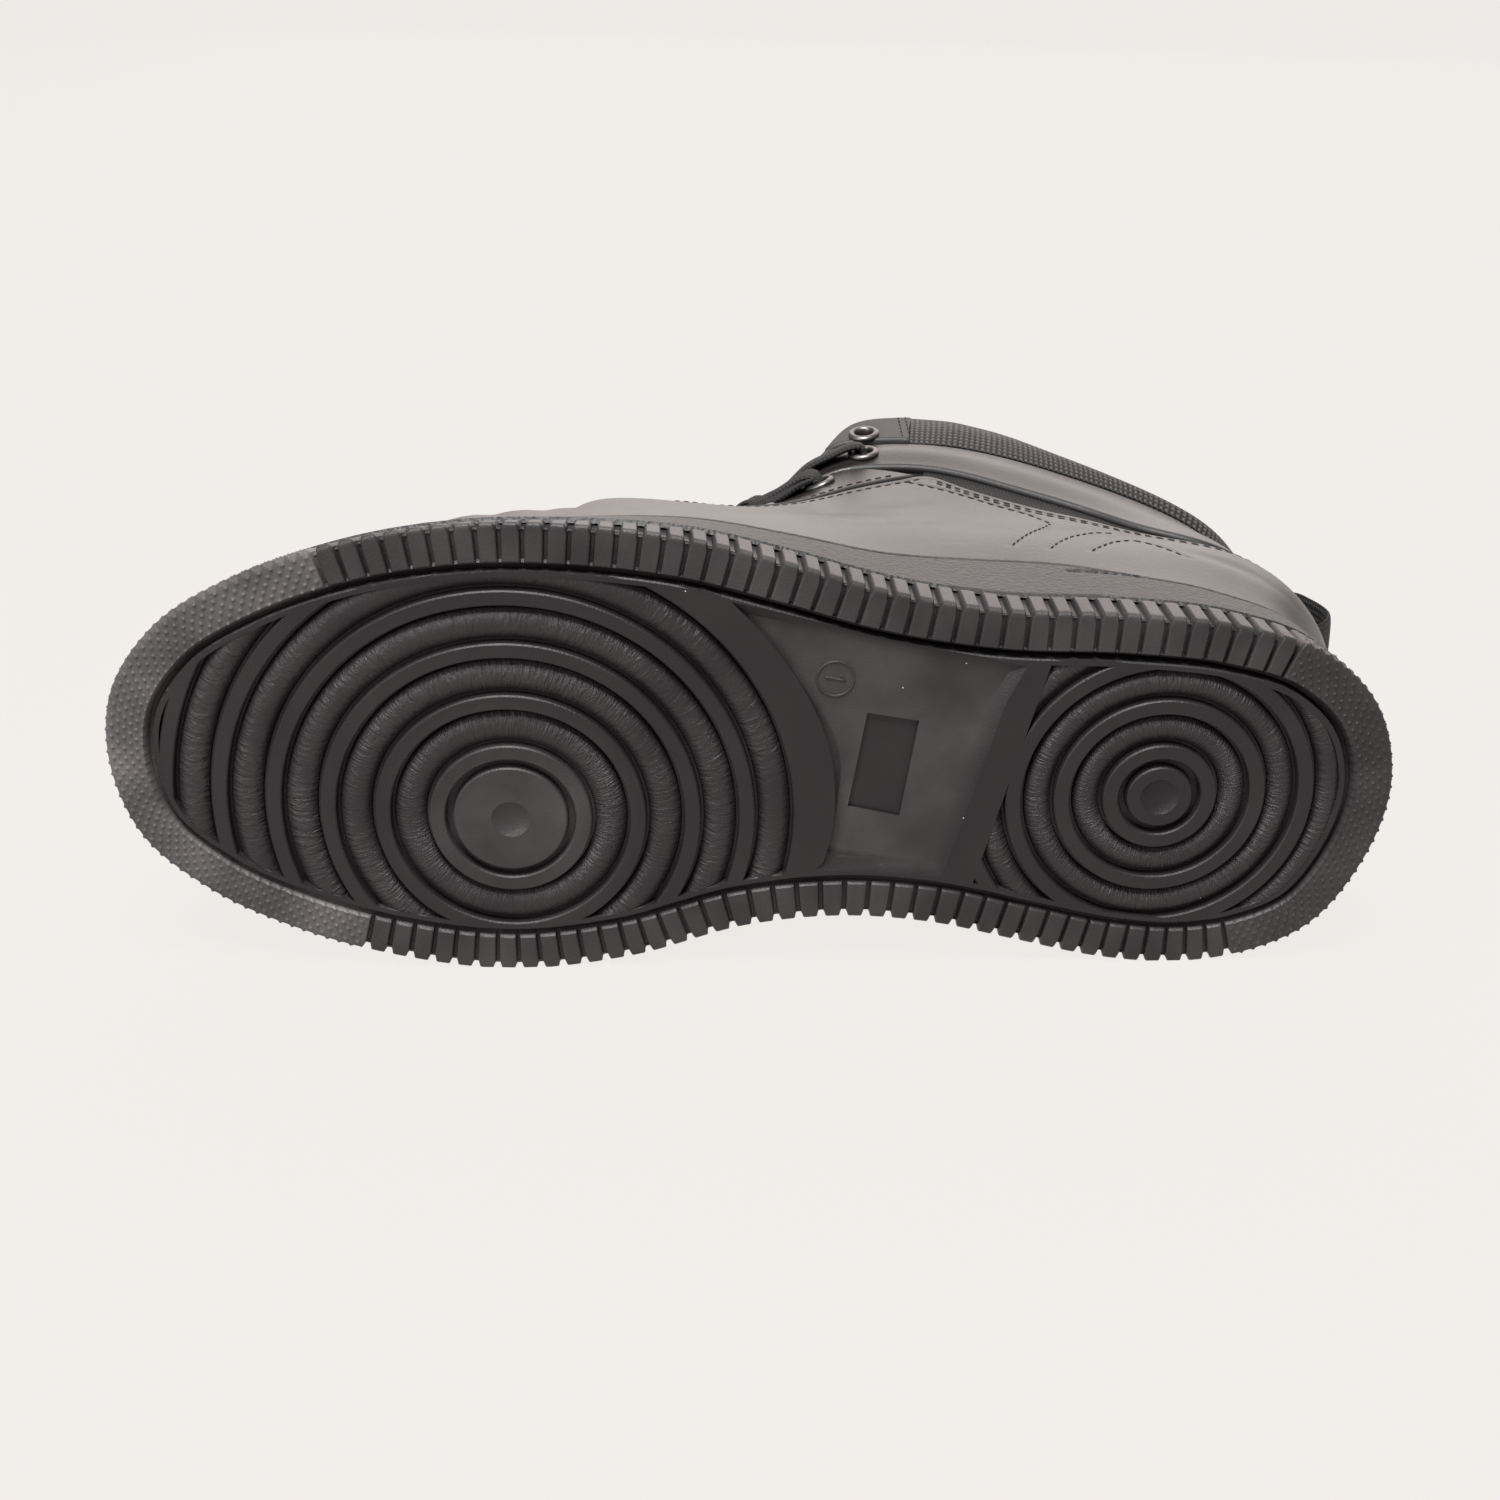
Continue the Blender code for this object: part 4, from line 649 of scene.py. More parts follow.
# Ground face of the sole: outline, rings, arch recess, marks. Sizes in metres.
tread = {
    "rimWidth": 0.0095,
    "rimHeight": 0.011,
    "groove": 0.0018,
    "land": 0.0014,
    "depth": 0.0025,
    "ringFlat": 0.0036,
    "slot": 0.0013,
    "chamfer": 0.00032,
    "forefootDisc": 0.0131,
    "forefootPitch": 0.01255,
    "heelDisc": 0.0076,
    "heelPitch": 0.0113,
    "dimple": 0.0045,
    "dimpleDepth": 0.0016,
    "archDepth": 0.0018,
    "recess": 0.0009,
    "archBevel": 0.0042,
    "recessCorners": ((0.1218, 0.0232), (0.1100, 0.0208), (0.1144, -0.0036), (0.1264, -0.0005)),
    "thickness": 0.0034,
    "beyond": 0.001,
    "outlinePoints": 260,
    "segments": 144,
}


def flatFace(shape, corners, height):
    return shape.faces.new([shape.verts.new((p[0], p[1], height)) for p in corners])


# Extrude a face and give back the new items of one kind.
def extruded(shape, face, kind):
    made = bmesh.ops.extrude_face_region(shape, geom=[face])
    return [item for item in made["geom"] if isinstance(item, kind)]


def toolFrom(name, shape):
    bmesh.ops.recalc_face_normals(shape, faces=shape.faces)
    return addObject(name, meshFrom(name, shape))


def prismOver(name, corners, low, high):
    shape = bmesh.new()
    top = extruded(shape, flatFace(shape, corners, low), bmesh.types.BMVert)
    bmesh.ops.translate(shape, vec=(0.0, 0.0, high - low), verts=top)
    return toolFrom(name, shape)


def cutWith(target, tool, operation):
    modifier = target.modifiers.new("cut", "BOOLEAN")
    modifier.operation = operation
    modifier.solver = "MANIFOLD"
    modifier.object = tool
    bpy.context.view_layer.update()
    graph = bpy.context.evaluated_depsgraph_get()
    mesh = bpy.data.meshes.new_from_object(target.evaluated_get(graph))
    target.modifiers.clear()
    target.data = mesh
    bpy.data.objects.remove(tool, do_unlink=True)


# Profile of the hollow between two flat rings: chamfer, narrow slot, rounded ring, slot, chamfer.
def ringProfile(start, end):
    slot, deep, cut = tread["slot"], tread["depth"], tread["chamfer"]
    first = [(start - cut, -tread["beyond"]), (start - cut, 0.0), (start, cut)]
    last = [(end, cut), (end + cut, 0.0), (end + cut, -tread["beyond"])]
    if end - start < 2.6 * slot:
        return first + [(start + 0.0003, deep), (end - 0.0003, deep)] + last
    middle = 0.5 * (start + end)
    half = middle - start - 0.7 * slot
    shares = [-1.0 + k / 6.0 for k in range(13)]
    hump = [(middle + half * share, 0.00008 + (deep - 0.0006) * abs(share) ** 2.3) for share in shares]
    rise = [(start + 0.0002, deep), (start + 0.55 * slot, deep)]
    fall = [(end - 0.55 * slot, deep), (end - 0.0002, deep)]
    return first + rise + hump + fall + last


# Turn a profile of radii and heights round an upright axis.
def turnProfile(shape, profile, centre, steps, closed=False):
    verts = [shape.verts.new((centre[0] + r, centre[1], z)) for r, z in profile]
    following = verts[1:] + verts[:1] if closed else verts[1:]
    edges = [shape.edges.new(ends) for ends in zip(verts, following)]
    bmesh.ops.spin(
        shape, geom=verts + edges, cent=(centre[0], centre[1], 0.0), axis=(0.0, 0.0, 1.0),
        angle=2.0 * math.pi, steps=steps, use_merge=True,
    )


def firstRing(disc):
    return disc + 1.1 * tread["groove"]


def ringTools(name, centre, disc, pitch, count):
    shape = bmesh.new()
    first = firstRing(disc)
    bands = [(disc, first)]
    bands += [(first + k * pitch + tread["ringFlat"], first + (k + 1) * pitch) for k in range(count)]
    for start, end in bands:
        turnProfile(shape, ringProfile(start, end), centre, tread["segments"], closed=True)
    bmesh.ops.remove_doubles(shape, verts=shape.verts, dist=fineWeld)
    return toolFrom(name, shape)


# Front and back edges of the arch panel, each from its outer to its inner end or the other way.
def archFront(share):
    y = (0.46 - 0.63 * share) * shoe["ballWidth"]
    bow = 0.034 * ((2.2 * share - 1.5) ** 2 - 0.3)
    return np.array([(0.447 + bow) * shoe["length"], y])


def archBack(share):
    return np.array([(0.353 - 0.062 * share) * shoe["length"], (-0.17 + 0.52 * share) * shoe["ballWidth"]])


def insideLand(point, inset):
    outer = point[1] > 0.0
    border = edgePoint(distanceAtX(point[0], outer), inset)[0]
    return np.array([point[0], min(point[1], border[1]) if outer else max(point[1], border[1])])


def archTool():
    inset = tread["rimWidth"] + tread["groove"] + 0.002
    ring = [insideLand(archFront(k / 14), inset) for k in range(15)]
    ring += [insideLand(archBack(k / 4), inset) for k in range(5)]
    middle = sum(ring) / len(ring)
    shape = bmesh.new()
    lid = extruded(shape, flatFace(shape, ring, -tread["beyond"]), bmesh.types.BMFace)[0]
    bmesh.ops.translate(shape, vec=(0.0, 0.0, 0.00101), verts=lid.verts)
    deep = extruded(shape, lid, bmesh.types.BMVert)
    # a face left inside would make the cuts differ from run to run
    bmesh.ops.delete(shape, geom=[lid], context="FACES_ONLY")
    for vert in deep:
        inward = middle - np.array(vert.co[:2])
        reach = np.linalg.norm(inward)
        step = inward / reach * min(tread["archBevel"], 0.4 * reach)
        vert.co = (vert.co.x + step[0], vert.co.y + step[1], tread["archDepth"])
    return toolFrom("archTool", shape)


# Plate of the tread, with a small chamfer round its ground face.
def plateBlank(outer, ground):
    shape = bmesh.new()
    face = flatFace(shape, outer, tread["thickness"])
    for z, ring in ((tread["chamfer"], outer), (0.0, ground)):
        lid = extruded(shape, face, bmesh.types.BMFace)[0]
        if z == 0.0:
            bmesh.ops.delete(shape, geom=[face], context="FACES_ONLY")
        face = lid
        for vert in face.verts:
            near = np.argmin(np.linalg.norm(outer - np.array(vert.co[:2]), axis=1))
            vert.co = (*ring[near], z)
    return toolFrom("treadPlate", shape)


# The longest run of a closed row of points that keeps a condition, from its first point on.
def keptRun(points, kept):
    start = int(np.argmax(kept & ~np.roll(kept, 1)))
    return np.roll(points, -start, axis=0)[: int(kept.sum())]


# Cut a set of rings into the plate, inside a border of its own.
def cutRings(plate, name, border, *rings):
    tool = ringTools(name, *rings)
    cutWith(tool, prismOver("clip", border, -2.0 * tread["beyond"], 4.0 * tread["beyond"]), "INTERSECT")
    cutWith(plate, tool, "DIFFERENCE")


def archSpan(y):
    share = y / shoe["ballWidth"]
    return archBack((share + 0.17) / 0.52)[0] - 0.001, archFront((0.46 - share) / 0.63)[0] + 0.001


# Note on each vertex whether it is on a rounded ring or on the arch; the rubber's look reads this.
def markTread(shape):
    rounded = shape.verts.layers.float.new("rounded")
    arch = shape.verts.layers.float.new("arch")
    start = tread["ringFlat"] + 0.5 * tread["slot"]
    for vert in shape.verts:
        part = "forefoot" if vert.co.x > treadRubber["split"] else "heel"
        spot, pitch = treadRubber[part], tread[part + "Pitch"]
        far = math.hypot(vert.co.x - spot[0], vert.co.y - spot[1]) - firstRing(tread[part + "Disc"])
        raised = 0.00004 < vert.co.z < tread["depth"] - 0.0001 and far > 0.0
        low, high = archSpan(vert.co.y)
        between = low < vert.co.x < high
        vert[arch] = 1.0 if between and abs(vert.co.z - tread["archDepth"]) < 0.0002 else 0.0
        onHump = start < far % pitch < pitch - 0.3 * tread["slot"] and not between
        vert[rounded] = 1.0 if raised and onHump else 0.0


def makeTread(material):
    border = tread["rimWidth"] + tread["groove"]
    around = np.arange(tread["outlinePoints"]) * edgeTotal / tread["outlinePoints"]
    plate = plateBlank(edgePoint(around, border), edgePoint(around, border + tread["chamfer"]))
    land = edgePoint(around, border + tread["land"])
    centre = np.array(treadRubber["forefoot"])
    reach = firstRing(tread["forefootDisc"]) + 4 * tread["forefootPitch"] + 0.0008
    front = keptRun(land, (land[:, 0] > centre[0]) | (np.linalg.norm(land - centre, axis=1) < reach))
    turns = [math.atan2(*(p - centre)[::-1]) for p in (front[-1], front[0])]
    sweep = (turns[1] - turns[0]) % (2.0 * math.pi)
    arc = [turns[0] + sweep * k / 40 for k in range(1, 40)]
    arc = [centre + reach * np.array([math.cos(turn), math.sin(turn)]) for turn in arc]
    cutRings(plate, "forefootRings", list(front) + arc,
             centre, tread["forefootDisc"], tread["forefootPitch"], 6)
    across = archBack(1.0) - archBack(0.0)
    normal = np.array([across[1], -across[0]]) / np.linalg.norm(across)
    if normal[0] > 0:
        normal = -normal
    limit = archBack(0.0) + normal * (tread["archBevel"] + 0.0005)
    cutRings(plate, "heelRings", keptRun(land, (land - limit) @ normal > 0.0),
             treadRubber["heel"], tread["heelDisc"], tread["heelPitch"], 4)
    cutWith(plate, archTool(), "DIFFERENCE")
    for spot in (treadRubber["forefoot"], treadRubber["heel"]):
        shape = bmesh.new()
        radius = (tread["dimple"] ** 2 + tread["dimpleDepth"] ** 2) / (2.0 * tread["dimpleDepth"])
        low = Matrix.Translation((spot[0], spot[1], tread["dimpleDepth"] - radius))
        bmesh.ops.create_uvsphere(shape, u_segments=64, v_segments=64, radius=radius, matrix=low)
        cutWith(plate, addObject("dimpleTool", meshFrom("dimpleTool", shape)), "DIFFERENCE")
    # the bare recess on the arch
    bottom = tread["archDepth"] + tread["recess"]
    cutWith(plate, prismOver("recess", tread["recessCorners"], -tread["beyond"], bottom), "DIFFERENCE")
    shape = bmesh.new()
    shape.from_mesh(plate.data)
    bpy.data.objects.remove(plate, do_unlink=True)
    # cuts across the toe, so that the flat faces can follow its spring
    for k in range(18):
        x = (0.665 + 0.0185 * k) * shoe["length"]
        bmesh.ops.bisect_plane(
            shape, geom=shape.verts[:] + shape.edges[:] + shape.faces[:], dist=fineWeld,
            plane_co=(x, 0.0, 0.0), plane_no=(1.0, 0.0, 0.0),
        )
    bmesh.ops.triangulate(shape, faces=[face for face in shape.faces if len(face.verts) > 4])
    markTread(shape)
    mapFromAbove(shape)
    for vert in shape.verts:
        vert.co.z += float(springAt(vert.co.x))
    return finishPiece(shape, "treadPlate", material, ("outsole",), 28.0, recalc=False)


# Height over the floor of a point of the standing shoe, as four factors.
floorward = np.array(toWorld)[2]

# Ribs and studs of the rim. Sizes in metres.
rim = {
    "pitch": 0.0052,
    "slotGround": 0.0012,
    "slotEdge": 0.0020,
    "depth": 0.0017,
    "cornerRound": 0.0014,
    "outerRibs": (0.820, 0.083),
    "innerRibs": (0.118, 0.815),
    "studStep": 0.0029,
    "studRow": 0.00145,
    "studHeight": 0.00055,
    "studReach": 0.00062,
    "station": 0.00027,
    "solidStart": 0.0015,
    "flank": ((0.28, 0.0, 1.0), (0.5, 0.0, 0.12), (0.5, 0.00025, 0.0)),
}


# One side of a slot, outward from its middle or back to it: places along the edge and depths of cut.
def slotFlank(middle, widths, way):
    rows = rim["flank"] if way > 0 else rim["flank"][::-1]
    return [(middle + way * (share * widths + extra), cut) for share, extra, cut in rows]


def rimProfile():
    width, corner = tread["rimWidth"], rim["cornerRound"]
    rows = [(width + 0.0012, 0.0030, 0.0), (width + 0.0002, 0.0022, 0.0), (width, 0.0005, 0.3),
            (width - 0.0004, 0.0, 1.0)]
    rows += [(inset, 0.0, 1.0) for inset in np.linspace(width - 0.0009, corner, 29)]
    for k in range(1, 5):
        turn = 0.5 * math.pi * k / 4
        rows.append((corner - corner * math.sin(turn), corner - corner * math.cos(turn), 1.0))
    rows += [(0.0, z, 1.0) for z in np.linspace(corner + 0.0008, tread["rimHeight"] - 0.0006, 11)]
    rows += [(0.0004, tread["rimHeight"] - 0.0001, 0.8), (0.0030, tread["rimHeight"] + 0.0002, 0.0)]
    return np.array(rows)


def columnAtDistance(distance):
    point = edgePoint(distance)
    place = np.arccos(np.clip(1.0 - 2.0 * point[:, 0] / shoe["length"], -1.0, 1.0)) / math.pi
    sides = [edgePoint(distanceAtX(point[:, 0], outer))[:, 1] for outer in (True, False)]
    middle = 0.5 * (sides[0] + sides[1])
    return np.where(point[:, 1] > middle, place, 2.0 - place)


def makeRim(material):
    rows = rimProfile()
    along = np.clip((rows[:, 0] * -1.0 + 0.0030) / 0.0024, 0.0, 1.0)
    widths = rim["slotGround"] + (rim["slotEdge"] - rim["slotGround"]) * smoothStep(along)
    # places along the edge, each with its depth of cut; -1 marks the studded toe and heel
    stations = []
    level = np.zeros(len(rows))
    for (start, end), following in zip(ribZones, (ribZones[1][0], ribZones[0][0] + edgeTotal)):
        count = int(round((end - start) / rim["pitch"]))
        pitch = (end - start) / count
        for k in range(count):
            here = start + k * pitch
            stations += slotFlank(here, widths, 1)
            stations += [(level + here + step * pitch, 0.0) for step in (0.34, 0.5, 0.66)]
            stations += slotFlank(here + pitch, widths, -1)
        stations += slotFlank(end, widths, 1)
        solid = following - end - 2.0 * rim["solidStart"]
        count = int(solid / rim["station"])
        stations += [(level + end + rim["solidStart"] + solid * k / count, -1.0) for k in range(count + 1)]
        stations += slotFlank(following, widths, -1)
    stations.append((stations[0][0] + edgeTotal, stations[0][1]))
    distance = np.array([place for place, cut in stations]).T
    cuts = np.array([cut for place, cut in stations])
    base = columnAtDistance(distance[0])
    lean = cupLean(base) / cupTop(base)
    inset = rows[:, 0][:, None] + lean[None, :] * rows[:, 1][:, None]
    z = np.repeat(rows[:, 1][:, None], len(cuts), axis=1)
    corner = rim["cornerRound"]
    side = np.clip((corner - rows[:, 0]) / corner, 0.0, 1.0) * (rows[:, 2] > 0.0)
    ground = np.sqrt(np.clip(1.0 - side**2, 0.0, 1.0))
    depth = np.where(cuts >= 0.0, cuts, 0.0)[None, :] * rim["depth"] * rows[:, 2][:, None]
    # studs in a diamond pattern on the toe and the heel, on the ground face and up the side
    steps = np.hypot(np.diff(rows[:, 0]), np.diff(rows[:, 1]))
    travel = np.cumsum(np.concatenate([[0.0], steps]))[:, None]
    line = np.floor(travel / rim["studRow"])
    across = (travel / rim["studRow"] - line - 0.5) * rim["studRow"]
    shifted = distance / rim["studStep"] + 0.5 * np.mod(line, 2.0)
    beside = (np.mod(shifted, 1.0) - 0.5) * rim["studStep"]
    bump = np.clip(1.0 - np.hypot(across * 1.15, beside) / rim["studReach"], 0.0, 1.0)
    inZone = ((cuts < 0.0)[None, :] & (rows[:, 2] >= 1.0)[:, None])
    depth = depth - np.where(inZone, rim["studHeight"] * bump, 0.0)
    inset = inset + depth * side[:, None]
    z = z + depth * ground[:, None]
    flat = edgePoint(distance.ravel(), inset.ravel()).reshape(distance.shape + (2,))
    points = np.concatenate([flat, (z + springAt(flat[..., 0]))[..., None]], axis=-1)
    # the studs that lie on the floor are pressed flat
    sunk = np.minimum(points @ floorward[:3] + floorward[3], 0.0)
    points[..., 1] -= sunk / floorward[1]
    flat = np.stack([distance, np.broadcast_to(travel, distance.shape)], axis=-1)
    shape = laySheet(points, flat, closed=True)
    return finishPiece(shape, "soleRim", material, smoothAngle=38.0)


# Raised marks on the arch: a ring with a plain figure one in it.
mark = {"centre": (0.1290, 0.0319), "ring": 0.0042, "line": 0.00030, "figure": 0.0042, "turn": 12.0}


def addBar(shape, start, end, radius):
    start, end = Vector(start), Vector(end)
    turn = (end - start).to_track_quat("Z", "Y").to_matrix().to_4x4()
    bmesh.ops.create_cone(
        shape, cap_ends=True, segments=12, radius1=radius, radius2=radius, depth=(end - start).length,
        matrix=Matrix.Translation((start + end) * 0.5) @ turn,
    )
    for spot in (start, end):
        bmesh.ops.create_icosphere(shape, subdivisions=2, radius=radius, matrix=Matrix.Translation(spot))


def makeMarks(material):
    shape = bmesh.new()
    z = tread["archDepth"]
    made = bmesh.ops.create_circle(shape, segments=8, radius=mark["line"])
    bmesh.ops.rotate(shape, verts=made["verts"], cent=(0, 0, 0), matrix=Matrix.Rotation(math.pi / 2, 3, "X"))
    bmesh.ops.translate(shape, verts=made["verts"], vec=(mark["ring"], 0.0, 0.0))
    bmesh.ops.spin(
        shape, geom=shape.verts[:] + shape.edges[:], cent=(0, 0, 0), axis=(0, 0, 1), angle=2.0 * math.pi,
        steps=56, use_merge=True,
    )
    bmesh.ops.remove_doubles(shape, verts=shape.verts, dist=fineWeld)
    half = 0.5 * mark["figure"]
    addBar(shape, (half, 0.0, 0.0), (-half, 0.0, 0.0), mark["line"])
    addBar(shape, (-half, 0.0, 0.0), (-0.55 * half, 0.45 * half, 0.0), mark["line"])
    turn = Matrix.Rotation(math.radians(mark["turn"]), 4, "Z")
    bmesh.ops.transform(shape, matrix=Matrix.Translation((*mark["centre"], z)) @ turn, verts=shape.verts)
    mapFromAbove(shape)
    return finishPiece(shape, "archMark", material, smoothAngle=60.0)


ribZones = (
    [distanceAtX(share * shoe["length"], True) for share in rim["outerRibs"]],
    [distanceAtX(share * shoe["length"], False) for share in rim["innerRibs"]],
)
treadMaterial = soleRubber("mouldedTreadRubber", True)
rimMaterial = soleRubber("mouldedRimRubber", False)
makeTread(treadMaterial)
print("tread made")
makeRim(rimMaterial)
makeMarks(rimMaterial)
print("rim made")

# Leather-grained rubber of the sidewall: pebbles about a millimetre across, satin finish.
cupRubberLook = {"colour": "242121", "low": "141212", "roughness": 0.54, "pebble": 0.0011, "relief": 0.00026}
# Smooth full-grain leather: faint pores, soft patches of tone, semi-matt.
leatherLook = {
    "colour": "262121",
    "low": "181414",
    "scuff": "5A5250",
    "scuffStretch": (60.0, 520.0, 520.0),
    "roughness": 0.37,
    "pore": 0.0005,
    "relief": 0.00007,
}
# Softer black leather of the flaps and the edges; the rest is as above.
flapLook = {"colour": "1D1A1A", "low": "121010", "roughness": 0.52}
# Heavy ballistic weave: bead-like thread crossings in rows.
weaveLook = {"thread": "4A4444", "gap": "0A0909", "roughness": 0.68, "spacing": 0.00155, "relief": 0.0006}
# The same weave, finer, in the slit between band and quarter, and darker there as painted shade of the
# recess.
slitShadedLook = {"thread": "1D1B1B", "gap": "050505", "roughness": 0.8, "spacing": 0.00115, "relief": 0.0004}
# Knitted textile lining, dark and dull.
liningLook = {"thread": "242223", "gap": "0C0B0C", "roughness": 0.9, "spacing": 0.0013, "relief": 0.0002}
# Flat braided lace: slanting yarns that meet in a herringbone.
laceLook = {"thread": "1F1C1D", "gap": "060606", "roughness": 0.78, "spacing": 0.0012, "relief": 0.0003}
# Woven nylon tape with ribs across.
webbingLook = {"thread": "201E1F", "gap": "070707", "roughness": 0.7, "spacing": 0.0011, "relief": 0.0003}
# Nickel-plated brass with a dark finish.
eyeletLook = {"colour": "6F6B6C", "roughness": 0.42}
threadLook = {"colour": "151212", "roughness": 0.7}


def pebbledRubber(name, look):
    material, tree, shader = newMaterial(name, look["colour"], look["roughness"])
    place = addNode(tree, "ShaderNodeTexCoord").outputs["Object"]
    cells = addNode(tree, "ShaderNodeTexVoronoi", {"Vector": place, "Scale": 1.0 / look["pebble"]})
    fine = noiseNode(tree, place, 0.6 / look["pebble"], 5.0)
    tone = mixColours(tree, fine, linear(look["low"]), linear(look["colour"]))
    grain = mathNode(tree, "SUBTRACT", cells.outputs["Distance"], fine)
    connect(tree, shader, tone, bumpNode(tree, grain, 0.75, look["relief"]))
    return material


def smoothLeather(name, look):
    material, tree, shader = newMaterial(name, look["colour"], look["roughness"])
    place = addNode(tree, "ShaderNodeTexCoord").outputs["Object"]
    cloud = noiseNode(tree, place, 26.0, 4.0, Distortion=0.4)
    tone = mixColours(tree, cloud, linear(look["low"]), linear(look["colour"]))
    # thin pale scuffs that run along the shoe
    drawn = addNode(tree, "ShaderNodeMapping", {0: place, 3: look["scuffStretch"]})
    streaks = noiseNode(tree, drawn, 1.0, 2.0, Distortion=0.3)
    scuffs = rangeNode(tree, streaks, 0.66, 0.76, 0.0, 0.30)
    scuffed = mixColours(tree, scuffs, tone, linear(look["scuff"]))
    pores = addNode(tree, "ShaderNodeTexVoronoi", {"Vector": place, "Scale": 1.0 / look["pore"]})
    fine = noiseNode(tree, place, 0.35 / look["pore"], 3.0)
    grain = mathNode(tree, "ADD", pores.outputs["Distance"], fine)
    connect(tree, shader, scuffed, bumpNode(tree, grain, 0.5, look["relief"]))
    worn = rangeNode(tree, cloud, 0.0, 1.0, look["roughness"] - 0.05, look["roughness"] + 0.08)
    tree.links.new(worn.outputs[0], shader.inputs["Roughness"])
    return material


# Threads over and under each other, drawn from the piece's own map in metres.
def wovenCloth(name, look, kind):
    material, tree, shader = newMaterial(name, look["thread"], look["roughness"])
    place = addNode(tree, "ShaderNodeSeparateXYZ", {0: addNode(tree, "ShaderNodeUVMap", uv_map="flat")})
    across, along = place.outputs[0], place.outputs[1]
    turn = math.pi / look["spacing"]

    def wave(value, factor):
        return mathNode(tree, "SINE", mathNode(tree, "MULTIPLY", value, factor))

    if kind == "braid":
        slant = mathNode(tree, "ADD", mathNode(tree, "ABSOLUTE", across), along)
        height = mathNode(tree, "ADD", wave(slant, 2.0 * turn), wave(across, 2.0 * turn))
    elif kind == "ribs":
        height = mathNode(tree, "ADD", wave(along, 2.0 * turn), wave(across, 3.0 * turn))
    else:
        height = mathNode(tree, "ABSOLUTE", mathNode(tree, "MULTIPLY", wave(across, turn), wave(along, turn)))
    level = rangeNode(tree, height, 0.05 if kind == "weave" else -1.0, 0.9)
    tone = mixColours(tree, level, linear(look["gap"]), linear(look["thread"]))
    connect(tree, shader, tone, bumpNode(tree, level, 1.0, look["relief"]))
    return material


cupMaterial = pebbledRubber("mouldedCupRubber", cupRubberLook)
leatherMaterial = smoothLeather("fullGrainLeather", leatherLook)
flapMaterial = smoothLeather("softFlapLeather", {**leatherLook, **flapLook})
weaveMaterial = wovenCloth("ballisticWeave", weaveLook, "weave")
slitShadedMaterial = wovenCloth("slitWeaveShaded", slitShadedLook, "weave")
liningMaterial = wovenCloth("knittedLining", liningLook, "weave")
laceMaterial = wovenCloth("braidedLace", laceLook, "braid")
webbingMaterial = wovenCloth("wovenTape", webbingLook, "ribs")
threadMaterial = newMaterial("waxedThread", threadLook["colour"], threadLook["roughness"])[0]
metalMaterial = newMaterial(
    "nickelPlatedBrass", eyeletLook["colour"], eyeletLook["roughness"], Metallic=1.0,
)[0]

# Sidewall of the cup. Sizes in metres, heights measured down from its top edge.
cup = {
    "stations": 900,
    "foot": 0.0008,
    "round": 0.0009,
    "inside": 0.006,
    "lipDepth": 0.0021,
    "lipSoft": 0.0003,
    "lipGroove": 0.00035,
    "slotHeight": 0.0289,
    "slotDepth": 0.0012,
    "slotHalf": 0.0006,
    "slotStart": 0.331,
}


def makeCup():
    s = np.linspace(0.0, 2.0, cup["stations"] + 1)
    top, lean = cupTop(s), cupLean(s)
    base = tread["rimHeight"] + shoe["gap"]
    corner = cup["round"]
    place = np.where(s <= 1.0, s, 2.0 - s)
    rows = [(np.full(len(s), base), lean * base / top + cup["foot"])]
    # the moulded slot starts at a place on each side and runs back until it meets the top edge
    slotted = smoothStep((cup["slotStart"] - place) / 0.004)
    slotted = slotted * smoothStep((top - cup["slotHeight"] - 0.0004) / 0.001)
    for share in np.concatenate([[0.0], np.linspace(0.06, 1.0, 44)]):
        z = base + corner + (top - corner - base - corner) * share
        inset = lean * np.interp(share, (0.0, 0.6, 1.0), (base, 0.76 * top.mean(), top.mean())) / top.mean()
        groove = np.exp(-((top - z - cup["lipDepth"]) / cup["lipSoft"]) ** 2)
        slot = np.exp(-((z - cup["slotHeight"]) / cup["slotHalf"]) ** 2)
        rows.append((z, inset + cup["lipGroove"] * groove + slotted * cup["slotDepth"] * slot))
    for turn in np.linspace(0.2, 1.0, 5) * math.pi / 2.0:
        rows.append((top - corner + corner * math.sin(turn), lean + corner * (1.0 - math.cos(turn))))
    rows.append((top - shoe["gap"], lean + shoe["cupLip"]))
    rows.append((top - cup["inside"], lean + shoe["cupLip"]))
    points = []
    for z, inset in rows:
        flat = columnEdge(s, inset)
        points.append(np.column_stack([flat, z + springAt(flat[:, 0])]))
    shape = laySheet(np.array(points), closed=True)
    return finishPiece(shape, "cupWall", cupMaterial, ("midsole",), 40.0)


makeCup()
print("cup wall made")

# Places and normals of the eyelets, outer and inner side, from the top down.
eyeletFrames = []
for along, height in eyeletPlaces:
    pair = []
    for outer in (True, False):
        s, v = locate(along * shoe["length"], height * shoe["collarHeight"], outer)
        point, normal = upperSurface(s, v)
        pair.append((Vector(point[0]), Vector(normal[0])))
    eyeletFrames.append(pair)

# What eyelets, laces and stitches lie on: a search tree of each sheet made so far.
surfaces = []


# Open a round hole in a sheet round each lace hole; the eyelet's flange hides its rim.
def openHoles(shape, radius=0.0032):
    faces = list(shape.faces)
    middles = np.array([face.calc_center_median() for face in faces])
    doomed = np.zeros(len(faces), bool)
    for pair in eyeletFrames:
        for place, normal in pair:
            apart = middles - np.array(place)
            along = apart @ np.array(normal)
            aside = np.linalg.norm(apart - along[:, None] * np.array(normal), axis=1)
            doomed |= (np.abs(along) < 0.008) & (aside < radius)
    bmesh.ops.delete(shape, geom=[face for face, gone in zip(faces, doomed) if gone], context="FACES")


